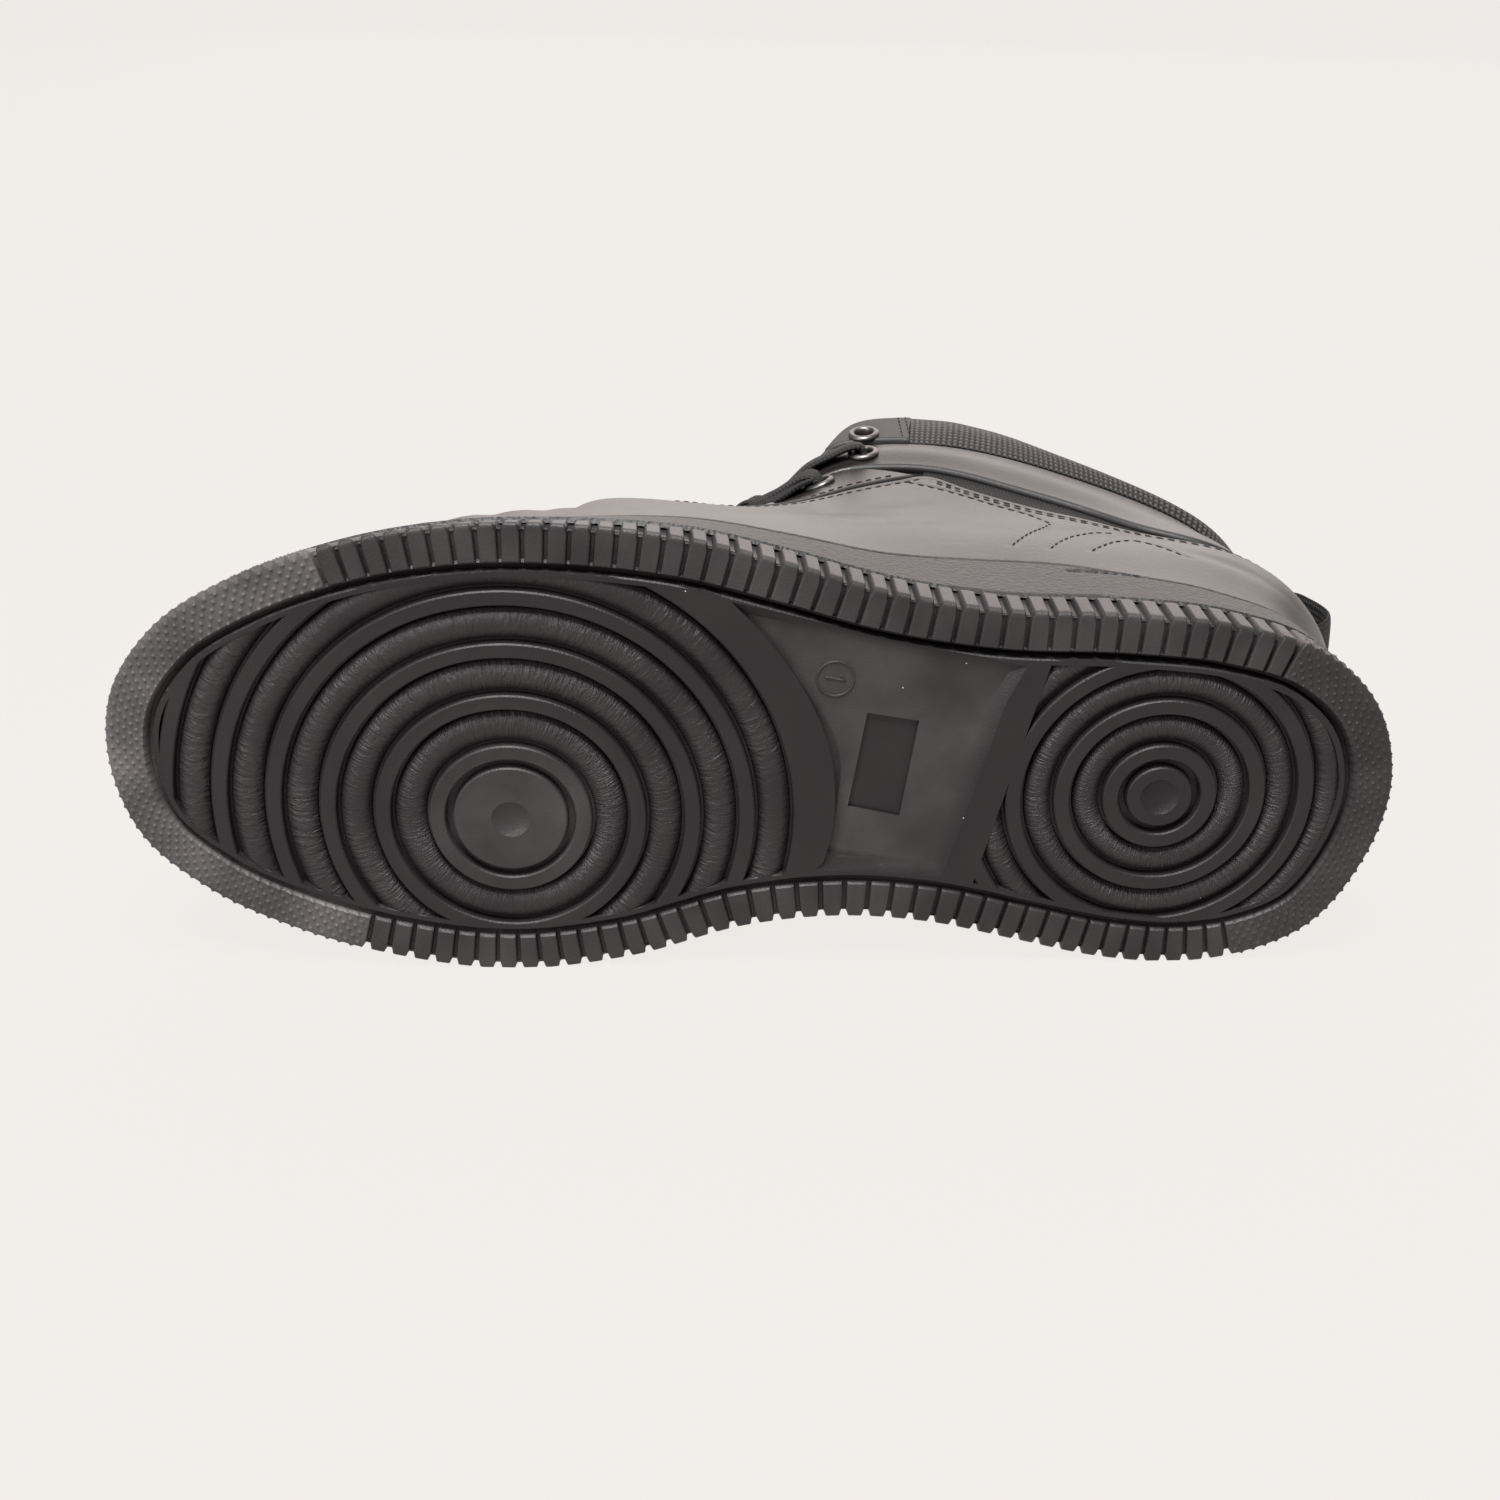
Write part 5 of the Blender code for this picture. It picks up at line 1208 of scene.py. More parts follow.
# Turn a sheet's faces to the side that the normals at its points show.
def pointOut(shape, points, normals):
    shape.normal_update()
    total = 0.0
    for face in list(shape.faces)[:: max(1, len(shape.faces) // 400)]:
        middle = np.array(face.calc_center_median())
        near = np.argmin(np.linalg.norm(points.reshape(-1, 3) - middle, axis=1))
        total += float(np.dot(np.array(face.normal), normals.reshape(-1, 3)[near]))
    if total < 0.0:
        bmesh.ops.reverse_faces(shape, faces=shape.faces)


# Overlays of leather. Sizes in metres.
overlay = {
    "thickness": 0.0014,
    "flapThickness": 0.0022,
    "slitThickness": 0.0003,
    "roll": 0.0012,
    "thinRoll": 0.0006,
    "seamGap": 0.0006,
    "sunk": 0.0002,
    "leastHeight": 0.0005,
    "pressReach": 0.0007,
    "pressDepth": 0.00022,
}


# How far seams press the leather in at a table of points, worked out in blocks to save memory.
def pressed(points, paths):
    flat = points.reshape(-1, 3)
    lowered = np.zeros(len(flat))
    block = 4000
    for path in paths:
        for start in range(0, len(flat), block):
            part = flat[start:start + block]
            apart = np.linalg.norm(part[:, None, :] - path[None, :, :], axis=2).min(axis=1)
            dent = np.exp(-(apart / overlay["pressReach"]) ** 2)
            lowered[start:start + block] += overlay["pressDepth"] * dent
    return lowered.reshape(points.shape[:2])


# A panel on the upper between two heights, with rolled edges, sewn paths and lace holes.
def makePanel(name, s, low, high, rows, material, replaced=(), thickness=overlay["thickness"],
              swell=None, paths=(), roll=overlay["roll"], openEdges=False):
    high = np.maximum(high, low + overlay["leastHeight"])
    share = 0.5 - 0.5 * np.cos(math.pi * np.linspace(0.0, 1.0, rows))
    share = 0.5 * share + 0.5 * np.linspace(0.0, 1.0, rows)
    v = low[None, :] + (high - low)[None, :] * share[:, None]
    columns = np.broadcast_to(s, v.shape)
    under = upperPoint(columns.ravel(), v.ravel()).reshape(v.shape + (3,))
    up = lengthsAlong(under)
    across = lengthsAlong(under, 1)
    margin = np.minimum(up[-1][None, :] - up, across)
    if not openEdges:
        margin = np.minimum(np.minimum(margin, up), across[:, -1:] - across)
    near = np.clip(margin / roll, 0.0, 1.0)
    out = -overlay["sunk"] + (shoe["gap"] + thickness + overlay["sunk"]) * np.sqrt(1.0 - (1.0 - near) ** 2)
    if swell is not None:
        out = out + near * swell(under)
    if paths:
        out = out - pressed(under, paths)
    points, normals = upperSurface(columns.ravel(), v.ravel(), out.ravel())
    points = points.reshape(v.shape + (3,))
    shape = laySheet(points, mapOf(under))
    pointOut(shape, points, normals.reshape(points.shape))
    openHoles(shape)
    surfaces.append(BVHTree.FromBMesh(shape))
    return finishPiece(shape, name, material, replaced, 50.0, recalc=False)


# Soft creases where the foot bends, placed in side view. Columns: share of the length, share of
# the collar height, half length, half width and depth in metres, slope in degrees.
bends = (
    (0.668, 0.345, 0.016, 0.0028, 0.00055, 68.0),
    (0.705, 0.315, 0.014, 0.0026, 0.00060, 72.0),
    (0.742, 0.300, 0.012, 0.0026, 0.00045, 76.0),
    (0.415, 0.470, 0.020, 0.0034, 0.00045, 152.0),
    (0.378, 0.400, 0.017, 0.0030, 0.00040, 146.0),
    (0.100, 0.330, 0.012, 0.0028, 0.00040, 20.0),
)


def bendDepth(points):
    x, z = points[..., 0], points[..., 2]
    total = np.zeros(x.shape)
    for place, height, reach, half, depth, slope in bends:
        ahead = x - place * shoe["length"]
        above = z - height * shoe["collarHeight"]
        c, d = math.cos(math.radians(slope)), math.sin(math.radians(slope))
        along, across = ahead * c + above * d, above * c - ahead * d
        total += depth * np.exp(-((along / reach) ** 2) - (across / half) ** 2)
    return total


# Lasted leather shell with its lining.
shellLook = {"columns": 420, "rows": 84}


def makeShell():
    s = np.linspace(0.0, 2.0, shellLook["columns"] + 1)
    v = np.linspace(0.0, 1.0, shellLook["rows"])
    columns, levels = np.meshgrid(s, v)
    wall = shoe["wall"]
    skins = []
    dent = bendDepth(upperPoint(columns.ravel(), levels.ravel()))
    for out, order in ((-dent, 1), (-wall, -1)):
        points = upperSurface(columns.ravel(), levels.ravel(), out)[0]
        skins.append(points.reshape(columns.shape + (3,))[::order])
    points = np.concatenate([skins[0], skins[1], skins[0][:1]], axis=0)
    shape = laySheet(points, closed=True)
    bmesh.ops.recalc_face_normals(shape, faces=shape.faces)
    openHoles(shape)
    surfaces.append(BVHTree.FromBMesh(shape))
    finishPiece(shape, "upperShell", leatherMaterial, ("upper",), 50.0, recalc=False)
    points, normals = upperSurface(columns.ravel(), np.clip(levels.ravel(), 0.0, 0.995), -wall - 0.00015)
    points = points.reshape(columns.shape + (3,))
    shape = laySheet(points, closed=True)
    pointOut(shape, points, -normals.reshape(points.shape))
    openHoles(shape)
    finishPiece(shape, "shoeLining", liningMaterial, (), 60.0, recalc=False)


makeShell()
print("shell made")


# Path of a seam in side view between two shares of the length, moved down by a drop.
def seamPath(name, start, end, count, drop=0.0):
    x = np.linspace(start, end, count) * shoe["length"]
    return np.column_stack([x, seamHeight(name, x) - drop])


def surfacePath(places, outer, out):
    return upperSurface(*locate(places[:, 0], places[:, 1], outer), out)


# Stitches of waxed thread: short capsules along a path.
stitch = {"length": 0.0020, "flapLength": 0.0015, "space": 0.0010, "radius": 0.00020, "proud": 0.00012}


def spreadEvenly(points, normals, step):
    travel = lengthsAlong(points)
    at = np.arange(0.5 * step, travel[-1], step)

    def read(rows, places):
        return np.stack([np.interp(places, travel, rows[:, k]) for k in range(3)], axis=1)

    along = read(points, at + 0.3 * step) - read(points, at - 0.3 * step)
    return read(points, at), along, read(normals, at)


def addStitches(whole, points, normals, length):
    shape = bmesh.new()
    for place, along, out in zip(*spreadEvenly(points, normals, length + stitch["space"])):
        forward = Vector(along).normalized()
        up = Vector(out).normalized()
        side = up.cross(forward).normalized()
        up = forward.cross(side)
        turn = Matrix((side, up, forward)).transposed().to_4x4()
        size = Matrix.Diagonal((stitch["radius"] * 1.15, stitch["radius"] * 0.9, 0.5 * length, 1.0))
        bmesh.ops.create_uvsphere(
            shape, u_segments=6, v_segments=6, radius=1.0, matrix=Matrix.Translation(place) @ turn @ size,
        )
    absorb(whole, shape)


seamStitches = bmesh.new()


# Stitches along a line of one side, set on the panel under them.
def sew(places, outer, tree, length=stitch["length"]):
    points, normals = surfacePath(places, outer, 0.0)
    seated = []
    for point, normal in zip(points, normals):
        start = Vector(point) + Vector(normal) * 0.008
        hit = tree.ray_cast(start, -Vector(normal), 0.012)[0]
        if hit is None:
            seated.append(point + normal * 0.0017)
        else:
            seated.append(np.array(hit) + normal * stitch["proud"])
    addStitches(seamStitches, np.array(seated), normals, length)


quarter = {
    "end": 0.60,
    "low": 0.125,
    "columns": 230,
    "rows": 110,
    "swell": 0.0012,
    "rearDrops": (0.0027, 0.0046),
    "frontDrop": 0.0026,
}


def quarterSwell(under):
    height = np.clip((under[..., 2] - 0.03) / 0.05, 0.0, 1.0)
    return quarter["swell"] * np.sin(math.pi * height) ** 2 - bendDepth(under)


# Lines stitched on the quarter behind the ankle: share of length, share of collar height.
quarterLines = (
    ((0.350, 0.676), (0.304, 0.616), (0.273, 0.569), (0.247, 0.531), (0.234, 0.490)),
    ((0.234, 0.490), (0.247, 0.437), (0.264, 0.380), (0.281, 0.318)),
    ((0.250, 0.312), (0.236, 0.358), (0.218, 0.402), (0.199, 0.438), (0.180, 0.452)),
    ((0.216, 0.312), (0.203, 0.346), (0.188, 0.378), (0.172, 0.394), (0.155, 0.372), (0.135, 0.325)),
)


def quarterStitchPaths():
    paths = [seamPath("quarter", 0.02, 0.327, 60, drop) for drop in quarter["rearDrops"]]
    paths.append(seamPath("quarter", 0.335, 0.56, 40, quarter["frontDrop"]))
    for line in quarterLines:
        knots = np.array(line) * (shoe["length"], shoe["collarHeight"])
        travel = lengthsAlong(knots)
        paths.append(openCurve(travel, knots, np.linspace(0.0, travel[-1], 50)))
    return paths


def makeQuarter(name, outer, replaced):
    s = np.linspace(0.0, quarter["end"], quarter["columns"])
    s = s if outer else 2.0 - s
    low = np.full(len(s), quarter["low"])
    lines = quarterStitchPaths()
    makePanel(name, s, low, levelAt(s, "quarter"), quarter["rows"], leatherMaterial, replaced,
              swell=quarterSwell, paths=[surfacePath(line, outer, 0.0)[0] for line in lines],
              roll=overlay["thinRoll"], openEdges=True)
    for line in lines:
        sew(line, outer, surfaces[-1])


makeQuarter("outerQuarter", True, ("quarter_lateral",))
makeQuarter("innerQuarter", False, ("quarter_medial",))
print("quarters made")


# Woven strip that shows in the slit between the quarters and the band.
slit = {"reach": 0.405, "columns": 380, "rows": 24, "hidden": 0.003}
band = {"reach": 0.523, "columns": 460, "rows": 52, "swell": 0.0010}


def makeSlit():
    s = np.linspace(-slit["reach"], slit["reach"], slit["columns"])
    low = levelAt(s, "quarter", -slit["hidden"])
    high = levelAt(s, "band", slit["hidden"])
    # the strip's darker weave is painted shade of the recess under the band
    makePanel("recessWeave", s, low, high, slit["rows"], slitShadedMaterial,
              thickness=overlay["slitThickness"])


def bandSwell(under):
    low = seamHeight("band", under[..., 0].ravel()).reshape(under.shape[:2])
    high = seamHeight("mesh", under[..., 0].ravel()).reshape(under.shape[:2])
    share = np.clip((under[..., 2] - low) / (high - low), 0.0, 1.0)
    return band["swell"] * np.sin(math.pi * share) ** 2


def makeBand():
    s = np.linspace(-band["reach"], band["reach"], band["columns"])
    high = levelAt(s, "mesh", -2.0 * overlay["seamGap"])
    makePanel("ankleBand", s, levelAt(s, "band"), high, band["rows"], leatherMaterial,
              ("ankle_band",), swell=bandSwell)
    piped = s[30:-30]
    makeEdging("bandPiping", upperSurface(piped, levelAt(piped, "band", -0.0002), 0.0011), edging["band"])


# Round cord or piping along a path.
def tubeSheet(points, normals, radius, sides=10):
    along = unit(np.gradient(points, axis=0))
    side = unit(np.cross(normals, along))
    up = np.cross(along, side)
    turns = np.linspace(0.0, 2.0 * math.pi, sides + 1)
    ring = [points + radius * (math.cos(t) * side + math.sin(t) * up) for t in turns]
    return np.stack(ring, axis=1)


# Black edges of the panels: the band's lower edge, and the eyestay's where it lies on the quarter. The
# eyestay's cord is its cut edge, made dark partly as painted shade on that edge.
edging = {"band": 0.00125, "stay": 0.0008}


def makeEdging(name, path, radius):
    shape = laySheet(tubeSheet(*path, radius), closed=True)
    finishPiece(shape, name, flapMaterial, (), 60.0)


makeSlit()
makeBand()
# dark cords along the eyestay's lower edges, partly painted shade of its cut edge
for name, outer in (("outerShadedStayEdge", True), ("innerShadedStayEdge", False)):
    shadedStayEdge = surfacePath(seamPath("eyestay", 0.345, 0.70, 110), outer, 0.0013)
    makeEdging(name, shadedStayEdge, edging["stay"])

stay = {"start": 0.398, "columns": 520, "rows": 34, "stitchRise": 0.0025}


def makeEyestay():
    s = np.linspace(stay["start"], 2.0 - stay["start"], stay["columns"])
    high = levelAt(s, "stayTop", -overlay["seamGap"])
    makePanel("lacingStay", s, levelAt(s, "eyestay"), high, stay["rows"], leatherMaterial,
              ("eyestay",))
    for outer in (True, False):
        sew(seamPath("eyestay", 0.36, 0.78, 90, -stay["stitchRise"]), outer, surfaces[-1])


makeEyestay()

# Leather ends of the collar, sewn down in two upright rows.
flap = {"start": 0.331, "rows": 40, "stitchRows": (0.0014, 0.0034)}


def makeFlap(name, outer, replaced):
    start = flap["start"] * shoe["length"]
    s = np.linspace(0.385, 0.49, 90)
    s = s if outer else 2.0 - s
    low = levelAt(s, "mesh")
    # the flap starts at the column whose middle lies at its rear edge
    middle = upperPoint(s, 0.5 * (low + 1.0))[:, 0]
    first = int(np.argmin(np.abs(middle - start)))
    makePanel(name, s[first:], low[first:], np.ones(len(s) - first), flap["rows"], flapMaterial,
              replaced, thickness=overlay["flapThickness"])
    levels = np.linspace(0.890, 0.985, 12) * shoe["collarHeight"]
    for shift in flap["stitchRows"]:
        places = np.column_stack([np.full(len(levels), start + shift), levels])
        sew(places, outer, surfaces[-1], stitch["flapLength"])


# Direction from the upper towards its opening.
def openingSide(s):
    return unit(upperPoint(s, 1.0) - upperPoint(s, 0.97))


# A table of points, rows of them, that runs smoothly through a few lines side by side.
def tableThrough(lines, rows):
    share = np.linspace(0.0, 1.0, len(lines))
    stack = np.stack(lines, axis=1)
    return np.array([openCurve(share, stack, np.full(len(stack), t)) for t in np.linspace(0.0, 1.0, rows)])


# Padded collar: foam under ballistic weave, which covers it outside and inside.
padding = {"pad": 0.0055, "roll": 0.0030, "reach": 0.412, "columns": 420, "round": 56}


# Rolled edge round the throat, from one collar end to the other.
def makeThroatEdge():
    s = np.linspace(padding["reach"], 2.0 - padding["reach"], 620)
    top = openingSide(s)
    over = shoe["gap"] + overlay["thickness"]
    wall = shoe["wall"]
    # height on the upper, distance out from it, and lift past the opening
    section = (
        (0.955, over - 0.0004, 0.0), (0.97, over + 0.0003, 0.0), (0.995, over + 0.0004, 0.0003),
        (1.0, 0.6 * over, 0.0014), (1.0, 0.5 * (over - wall) - 0.0008, 0.0017), (1.0, -wall, 0.0011),
        (0.99, -wall - 0.0008, 0.0), (0.96, -wall - 0.0006, 0.0), (0.94, -wall + 0.0002, 0.0),
    )
    points = tableThrough([upperSurface(s, v, out)[0] + top * lift for v, out, lift in section], 22)
    shape = laySheet(points)
    normals = upperSurface(s, 0.97, 0.0)[1]
    pointOut(shape, points[:6], np.broadcast_to(normals, points[:6].shape))
    openHoles(shape)
    surfaces.append(BVHTree.FromBMesh(shape))
    finishPiece(shape, "throatEdge", flapMaterial, (), 60.0, recalc=False)


makeThroatEdge()
makeFlap("outerFlap", True, ("flap_lateral",))
makeFlap("innerFlap", False, ("flap_medial",))
print("leather panels made")


def makeCollar():
    s = np.linspace(-padding["reach"], padding["reach"], padding["columns"])
    low = levelAt(s, "mesh", overlay["seamGap"])
    wall = shoe["wall"] + shoe["gap"]
    top = openingSide(s)
    gap, roll, pad = shoe["gap"], padding["roll"], padding["pad"]
    taper = np.sqrt(np.clip((padding["reach"] - np.abs(s)) / 0.012, 0.0, 1.0) * 0.9 + 0.1)

    def at(v, out, lift=0.0):
        return upperSurface(s, v, out)[0] + top * np.broadcast_to(lift, s.shape)[:, None]

    flat = 0.62 + 0.38 * smoothStep((padding["reach"] - 0.004 - np.abs(s)) / 0.03)
    knots = [
        at(low, 0.0002),
        at(low, 2.0 * gap + overlay["thickness"] * 0.8 * flat),
        at(0.5 * (low + 1.0), 2.0 * gap + roll * flat),
        at(1.0, roll * 0.62 * flat, roll * 0.45),
        at(1.0, -wall * 0.5, roll * 1.0),
        at(1.0, -wall - pad * 0.75 * taper, gap),
        at(0.91, -wall - pad * taper),
        at(0.78, -wall - pad * 0.75 * taper),
        at(0.68, -wall - pad * 0.2 * taper),
        at(0.655, -wall - 0.0001),
    ]
    points = tableThrough(knots, padding["round"])
    shape = laySheet(points)
    normals = upperSurface(s, 0.9, 0.0)[1]
    pointOut(shape, points[:12], np.broadcast_to(normals, points[:12].shape))
    piece = finishPiece(shape, "collarPad", weaveMaterial, ("collar",), 60.0, recalc=False)


makeCollar()
print("collar made")

# Tongue: thin foam between two fabrics, under both edges of the throat.
tongueLook = {
    "thickness": 0.005,
    "rise": 0.016,
    "level": 0.87,
    "rows": 90,
    "across": 30,
    "bulge": 1.75,
    "quilt": 0.0004,
    "channels": 5.0,
}
tongueRows = (
    (0.440, 0.125), (0.475, 0.125), (0.520, 0.115), (0.580, 0.095), (0.650, 0.070), (0.730, 0.045),
    (0.810, 0.025), (0.900, 0.012), (0.960, 0.006),
)


def makeTongue():
    inside = -(shoe["wall"] + 2.0 * shoe["gap"] + 0.0002)
    frames = []
    for place, rise in tongueRows:
        a = Vector(upperSurface(place, tongueLook["level"], inside)[0][0])
        b = Vector(upperSurface(2.0 - place, tongueLook["level"], inside)[0][0])
        frames.append((a, b, rise * shoe["collarHeight"] * tongueLook["bulge"]))
    rows = []
    count = len(frames)
    for k, (a, b, rise) in enumerate(frames):
        ahead, behind = frames[min(k + 1, count - 1)], frames[max(k - 1, 0)]
        along = ((behind[0] + behind[1]) - (ahead[0] + ahead[1])).normalized()
        out = (a - b).normalized().cross(along).normalized()
        out = -out if out.x < 0 else out
        rows.append((a, b, out, rise, along))
    a, b, out, rise, along = rows[0]
    lift = along * tongueLook["rise"]
    pinch = (a - b) * 0.06
    rows.insert(0, (a + lift - pinch, b + lift + pinch, out, rise, along))
    keys = np.arange(len(rows), dtype=float)
    table = np.array([list(a) + list((a + b) * 0.5 + out * rise) + list(b) + list(out)
                      for a, b, out, rise, along in rows])
    at = np.linspace(0.0, len(rows) - 1.0, tongueLook["rows"])
    dense = openCurve(keys, table, at)
    t = np.linspace(0.0, 1.0, tongueLook["across"] + 1)[:, None]
    loops = []
    for k, row in enumerate(dense):
        first, middle, last, out = row[:3], row[3:6], row[6:9], row[9:] / np.linalg.norm(row[9:])
        upper = first * (1 - t) ** 2 + 2 * middle * t * (1 - t) + last * t**2
        edge = np.minimum(np.minimum(t, 1.0 - t) / 0.09, 1.0)
        full = np.sqrt(1.0 - (1.0 - edge) ** 2)
        tip = math.sqrt(1.0 - (1.0 - min(k / 5.0, 1.0)) ** 2) if k < 5 else 1.0
        depth = tongueLook["thickness"] * (0.25 + 0.75 * full) * max(tip, 0.12)
        wave = np.cos(2.0 * math.pi * (t * tongueLook["channels"]))
        quilt = tongueLook["quilt"] * (wave * full * tip - 1.0)
        top = upper + out * (quilt - 0.5 * tongueLook["thickness"] * (1.0 - tip))
        low = top - out * depth
        loops.append(np.concatenate([top, low[::-1], top[:1]]))
    shape = laySheet(np.array(loops), closed=True)
    bmesh.ops.holes_fill(shape, edges=[edge for edge in shape.edges if edge.is_boundary])
    surfaces.append(BVHTree.FromBMesh(shape))
    piece = finishPiece(shape, "tonguePad", liningMaterial, ("tongue",), 60.0)


makeTongue()
print("tongue made")

# Metal eyelets: a rolled flange and a barrel through the wall.
eyelet = {"radius": 0.0044, "hole": 0.0025, "height": 0.0011, "barrel": 0.0042, "segments": 40}


# Height over the bare upper of what an eyelet's flange rests on.
def seatHeight(place, normal):
    side = normal.orthogonal().normalized()
    other = normal.cross(side)
    highest = 0.0
    for tree in surfaces:
        for k in range(16):
            angle = math.pi * k / 8
            spot = place + (side * math.cos(angle) + other * math.sin(angle)) * eyelet["radius"]
            hit = tree.ray_cast(spot + normal * 0.006, -normal, 0.008)[0]
            if hit is not None:
                highest = max(highest, (hit - place).dot(normal))
    return highest


def makeEyelet(name, replaced, place, normal):
    base = seatHeight(place, normal)
    r, hole, top, barrel = eyelet["radius"], eyelet["hole"], eyelet["height"], eyelet["barrel"]
    profile = [
        (r * 0.96, -0.0002), (r, 0.0002), (r * 0.985, top * 0.45), (r * 0.93, top * 0.75),
        (r * 0.85, top * 0.95), (r * 0.76, top), (r * 0.68, top * 0.92), (hole * 1.06, top * 0.6),
        (hole, top * 0.1), (hole, -barrel * 0.5), (hole, -barrel),
    ]
    shape = bmesh.new()
    turnProfile(shape, profile, (0.0, 0.0), eyelet["segments"])
    bmesh.ops.remove_doubles(shape, verts=shape.verts, dist=fineWeld)
    turn = normal.to_track_quat("Z", "Y").to_matrix().to_4x4()
    bmesh.ops.transform(shape, matrix=Matrix.Translation(place + normal * base) @ turn, verts=shape.verts)
    bmesh.ops.recalc_face_normals(shape, faces=shape.faces)
    shape.normal_update()
    highest = max(shape.faces, key=lambda face: (face.calc_center_median() - place).dot(normal))
    if highest.normal.dot(normal) < 0:
        bmesh.ops.reverse_faces(shape, faces=shape.faces)
    finishPiece(shape, name, metalMaterial, (replaced,), 60.0, recalc=False)
    return place + normal * (base + eyelet["height"])


# Middle of each eyelet's top and its normal, outer and inner side, from the top down.
eyeletTops = []
for row, pair in enumerate(eyeletFrames, 1):
    tops = []
    for side, part, (place, normal) in zip(("outer", "inner"), ("lateral", "medial"), pair):
        top = makeEyelet("%sEyelet%d" % (side, row), "eyelet_%s_%d" % (part, row), place, normal)
        tops.append((top, normal))
    eyeletTops.append(tops)
print("eyelets made")

# Flat lace, laced in crossings from the second eyelets down to a bar at the last ones.
lace = {
    "width": 0.0075,
    "narrow": 0.0052,
    "thickness": 0.0019,
    "lift": 0.0012,
    "over": 0.0020,
    "overReach": 0.17,
    "dives": (0.0040, 0.0018, -0.0003),
    "samples": 70,
}


# The points of a row, in side view, that a cord pulled tight over them would touch.
def taut(points):
    hull = []
    for point in points:
        while len(hull) > 1:
            a, b = hull[-2:]
            if (b - a).cross(point - a) < 0.0:
                break
            hull.pop()
        hull.append(point)
    return hull


# Lay a strap over the sheets between two points: its directions, and its height at rising distances.
def layOver(start, end, out):
    chord = end - start
    side = out.cross(chord).normalized()
    along = side.cross(out).normalized()
    length, climb = chord.dot(along), chord.dot(out)
    heights = []
    for k in range(lace["samples"] + 1):
        share = k / lace["samples"]
        height = climb * share
        for across in (-0.5, -0.3, -0.1, 0.1, 0.3, 0.5):
            spot = start + along * length * share + side * lace["width"] * across
            for tree in surfaces:
                hit = tree.ray_cast(spot + out * 0.06, -out, 0.08)[0]
                if hit is not None:
                    height = max(height, (hit - start).dot(out))
        heights.append(Vector((length * share, height)))
    hull = np.array(taut(heights))
    return along, side, length, hull[:, 0], hull[:, 1]


# Flat strap with full edges along a path, with its ends open.
def strapSheet(path, side, widths, thickness, ring=14):
    along = unit(np.gradient(path, axis=0))
    sides = np.broadcast_to(np.array(side), path.shape)
    sides = unit(sides - along * np.sum(sides * along, axis=1)[:, None])
    up = np.cross(along, sides)
    turns = np.linspace(0.0, 2.0 * math.pi, ring + 1)
    cross = np.array([math.copysign(abs(math.cos(t)) ** 0.55, math.cos(t)) * 0.5 for t in turns])
    rise = np.array([math.copysign(abs(math.sin(t)) ** 0.8, math.sin(t)) * 0.5 * thickness for t in turns])
    loops = [path + sides * (wide * widths)[:, None] + up * high for wide, high in zip(cross, rise)]
    points = np.stack(loops, axis=1)
    flat = np.stack([np.broadcast_to(cross[None, :] * lace["width"], points.shape[:2]),
                     np.broadcast_to(lengthsAlong(path)[:, None], points.shape[:2])], axis=-1)
    return laySheet(points, flat, closed=True)


# Path of one run of the lace, which dives through an eyelet at each end.
def laceRun(start, end, onTop):
    (topA, normalA), (topB, normalB) = start, end
    out = (normalA + normalB).normalized()
    along, side, length, reach, level = layOver(topA, topB, out)
    steps = np.linspace(0.0, length, 64)
    height = np.interp(steps, reach, level)
    kernel = np.array([1.0, 4.0, 6.0, 4.0, 1.0]) / 16.0
    for _ in range(3):
        widened = np.concatenate([[height[0]] * 2, height, [height[-1]] * 2])
        height = np.maximum(np.convolve(widened, kernel, mode="valid"), height)
    height = height + lace["lift"]
    if onTop:
        height = height + lace["over"] * np.exp(-((steps / length - 0.5) / lace["overReach"]) ** 2)
    path = np.array([topA + along * x + out * y for x, y in zip(steps, height)])
    head = [np.array(topA - normalA * depth) for depth in lace["dives"]]
    tail = [np.array(topB - normalB * depth) for depth in lace["dives"][::-1]]
    return np.concatenate([head, path[3:-3], tail]), side


def makeLaces():
    shape = bmesh.new()
    runs = []
    for upper, lower in zip(eyeletTops[1:], eyeletTops[2:]):
        runs.append(laceRun(upper[0], lower[1], False))
        runs.append(laceRun(upper[1], lower[0], True))
    runs.append(laceRun(eyeletTops[-1][0], eyeletTops[-1][1], False))
    total = 0.0
    for path, side in runs:
        travel = lengthsAlong(path)
        total += travel[-1]
        knots = np.linspace(0.0, travel[-1], 84)
        ends = np.minimum(knots, travel[-1] - knots)
        widths = lace["narrow"] + (lace["width"] - lace["narrow"]) * smoothStep((ends - 0.003) / 0.006)
        absorb(shape, strapSheet(openCurve(travel, path, knots), side, widths, lace["thickness"]))
    finishPiece(shape, "flatLace", laceMaterial, ("laces",), 60.0)
    return total


print("laces made, visible length in mm:", round(makeLaces() * 1000))

# Webbing loop at the heel.
loopLook = {"width": 0.016, "thickness": 0.0016, "reach": 0.012}


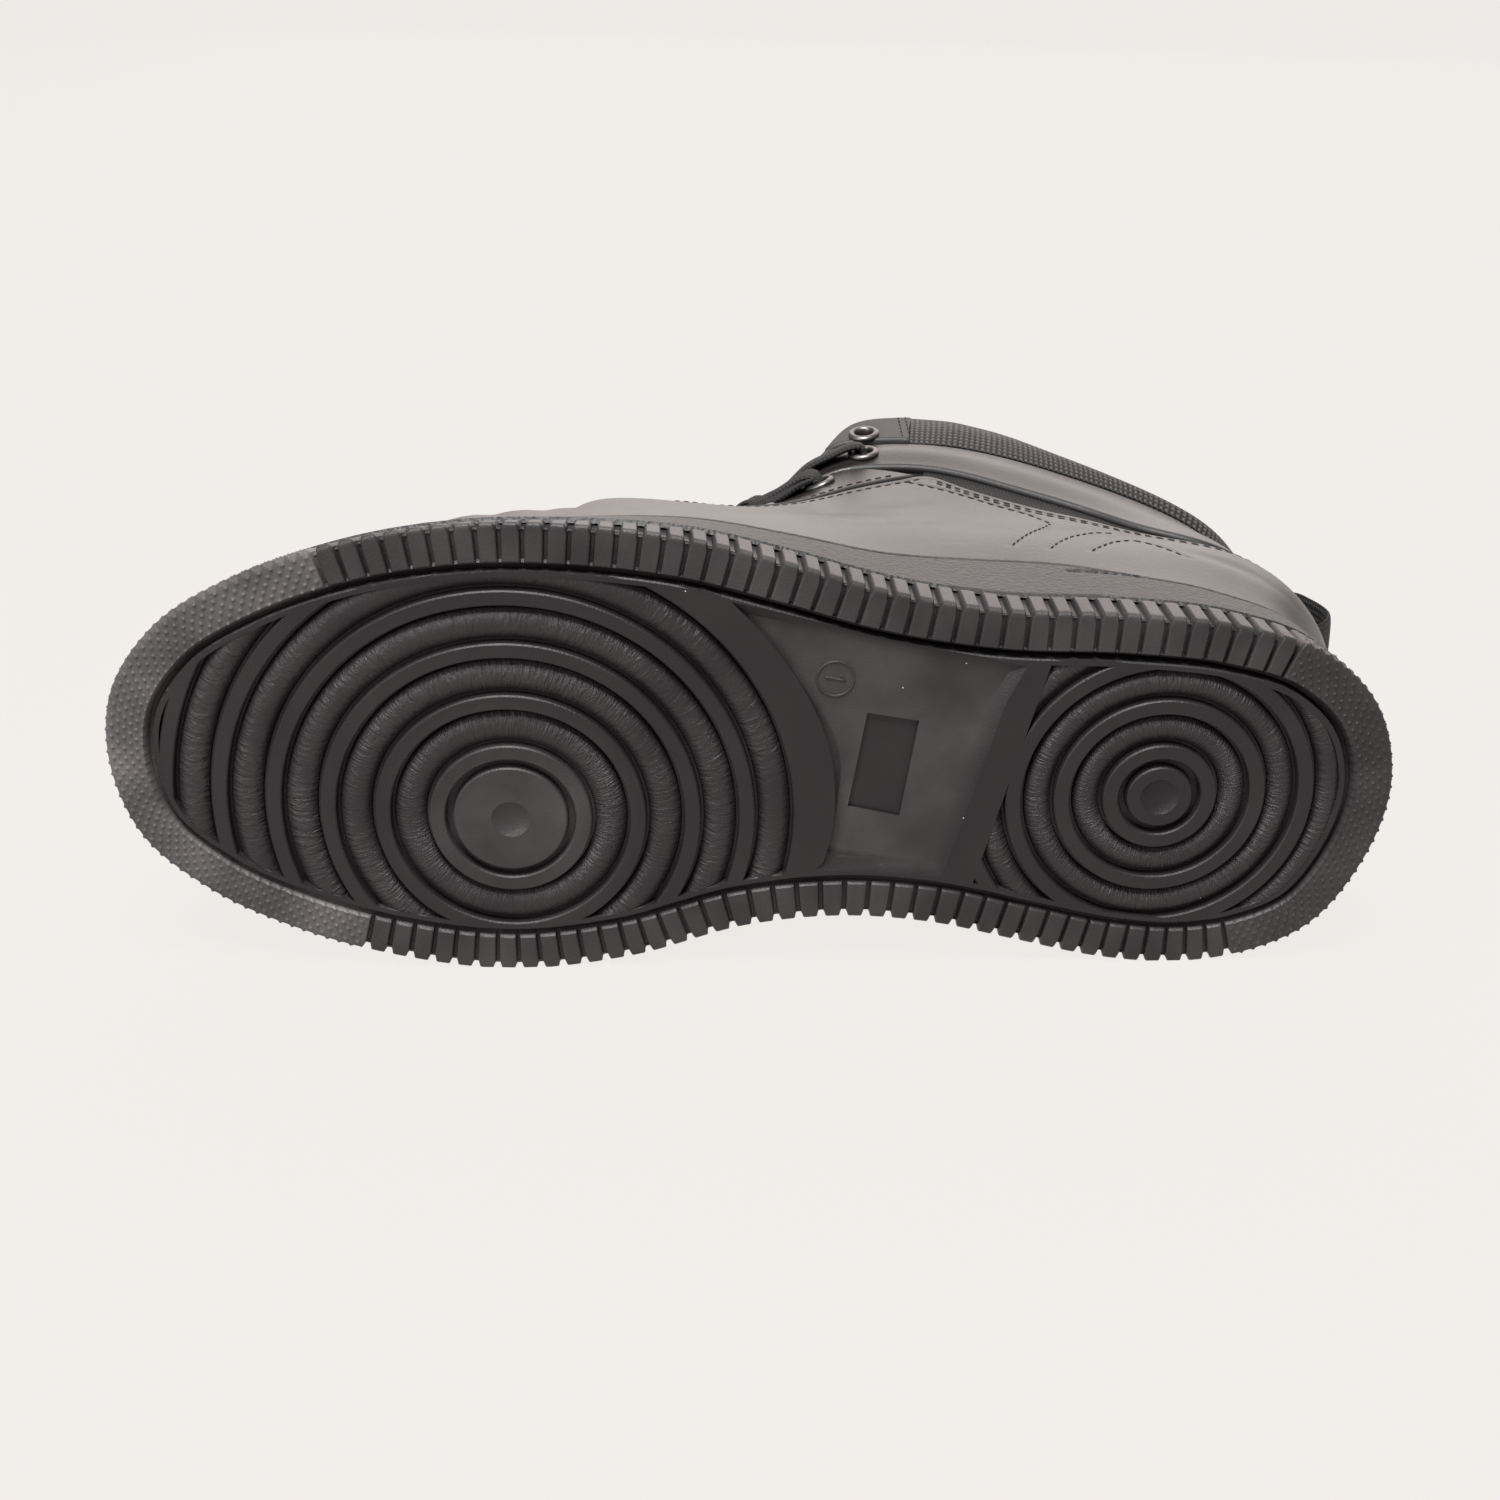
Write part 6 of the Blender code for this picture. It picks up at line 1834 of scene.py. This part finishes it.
def makeLoop():
    out = 2.0 * shoe["gap"] + overlay["thickness"] + loopLook["thickness"] * 0.5 + 0.0003
    top = float(levelAt(np.array([0.0]), "mesh", -0.004)[0])
    low = float(levelAt(np.array([0.0]), "band", 0.003)[0])
    upperEnd = upperSurface(0.0, top, out)[0][0]
    lowerEnd = upperSurface(0.0, low, out)[0][0]
    away = np.array([-loopLook["reach"], 0.0, 0.0])
    rise = np.array([0.0, 0.0, upperEnd[2] - lowerEnd[2]])
    knots = np.array([
        upperEnd, upperEnd + 0.45 * away + 0.10 * rise, upperEnd + 0.85 * away + 0.04 * rise,
        upperEnd + 1.05 * away - 0.14 * rise, lowerEnd + 0.95 * away + 0.34 * rise,
        lowerEnd + 0.62 * away + 0.10 * rise, lowerEnd + 0.20 * away,
    ])
    travel = lengthsAlong(knots)
    path = openCurve(travel, knots, np.linspace(0.0, travel[-1], 70))
    widths = np.full(len(path), loopLook["width"])
    shape = strapSheet(path, (0.0, 1.0, 0.0), widths, loopLook["thickness"], 20)
    bmesh.ops.holes_fill(shape, edges=[edge for edge in shape.edges if edge.is_boundary])
    finishPiece(shape, "heelLoop", webbingMaterial, ("pull_loop",), 50.0)


makeLoop()


# Section of the sock from its edge inward: distance in, and drop below its edge's top.
sockSection = (
    (0.0, 0.0035), (0.0, 0.0010), (0.0006, 0.0003), (0.0016, 0.0), (0.0060, -0.0002),
    (0.0120, -0.0004), (0.0200, -0.0006), (0.0280, -0.0006),
)


def makeInsole():
    s = np.linspace(0.0, 2.0, 301)
    inset = cupLean(s) + shoe["cupLip"] + shoe["wall"] + 3.0 * shoe["gap"] + 0.0006
    rings = []
    for inward, drop in sockSection:
        flat = columnEdge(s, inset + inward)
        z = floorHeight(flat[:, 0]) + shoe["gap"] + shoe["insole"] + springAt(flat[:, 0]) - drop
        rings.append(np.column_stack([flat, z]))
    points = np.array(rings)
    shape = laySheet(points, points[..., :2], closed=True)
    # the sheet is open in the middle, and below, where it isn't seen
    middle = []
    for edge in shape.edges:
        apart = np.linalg.norm(points[-1] - np.array(edge.verts[0].co), axis=1)
        if edge.is_boundary and apart.min() < 0.0001:
            middle.append(edge)
    bmesh.ops.triangle_fill(shape, use_beauty=True, edges=middle)
    mapFromAbove(shape)
    finishPiece(shape, "sockLiner", liningMaterial, ("insole",), 60.0)


makeInsole()
finishPiece(seamStitches, "seamStitches", threadMaterial, (), 60.0, recalc=False)
print("loop, sock and stitches made")
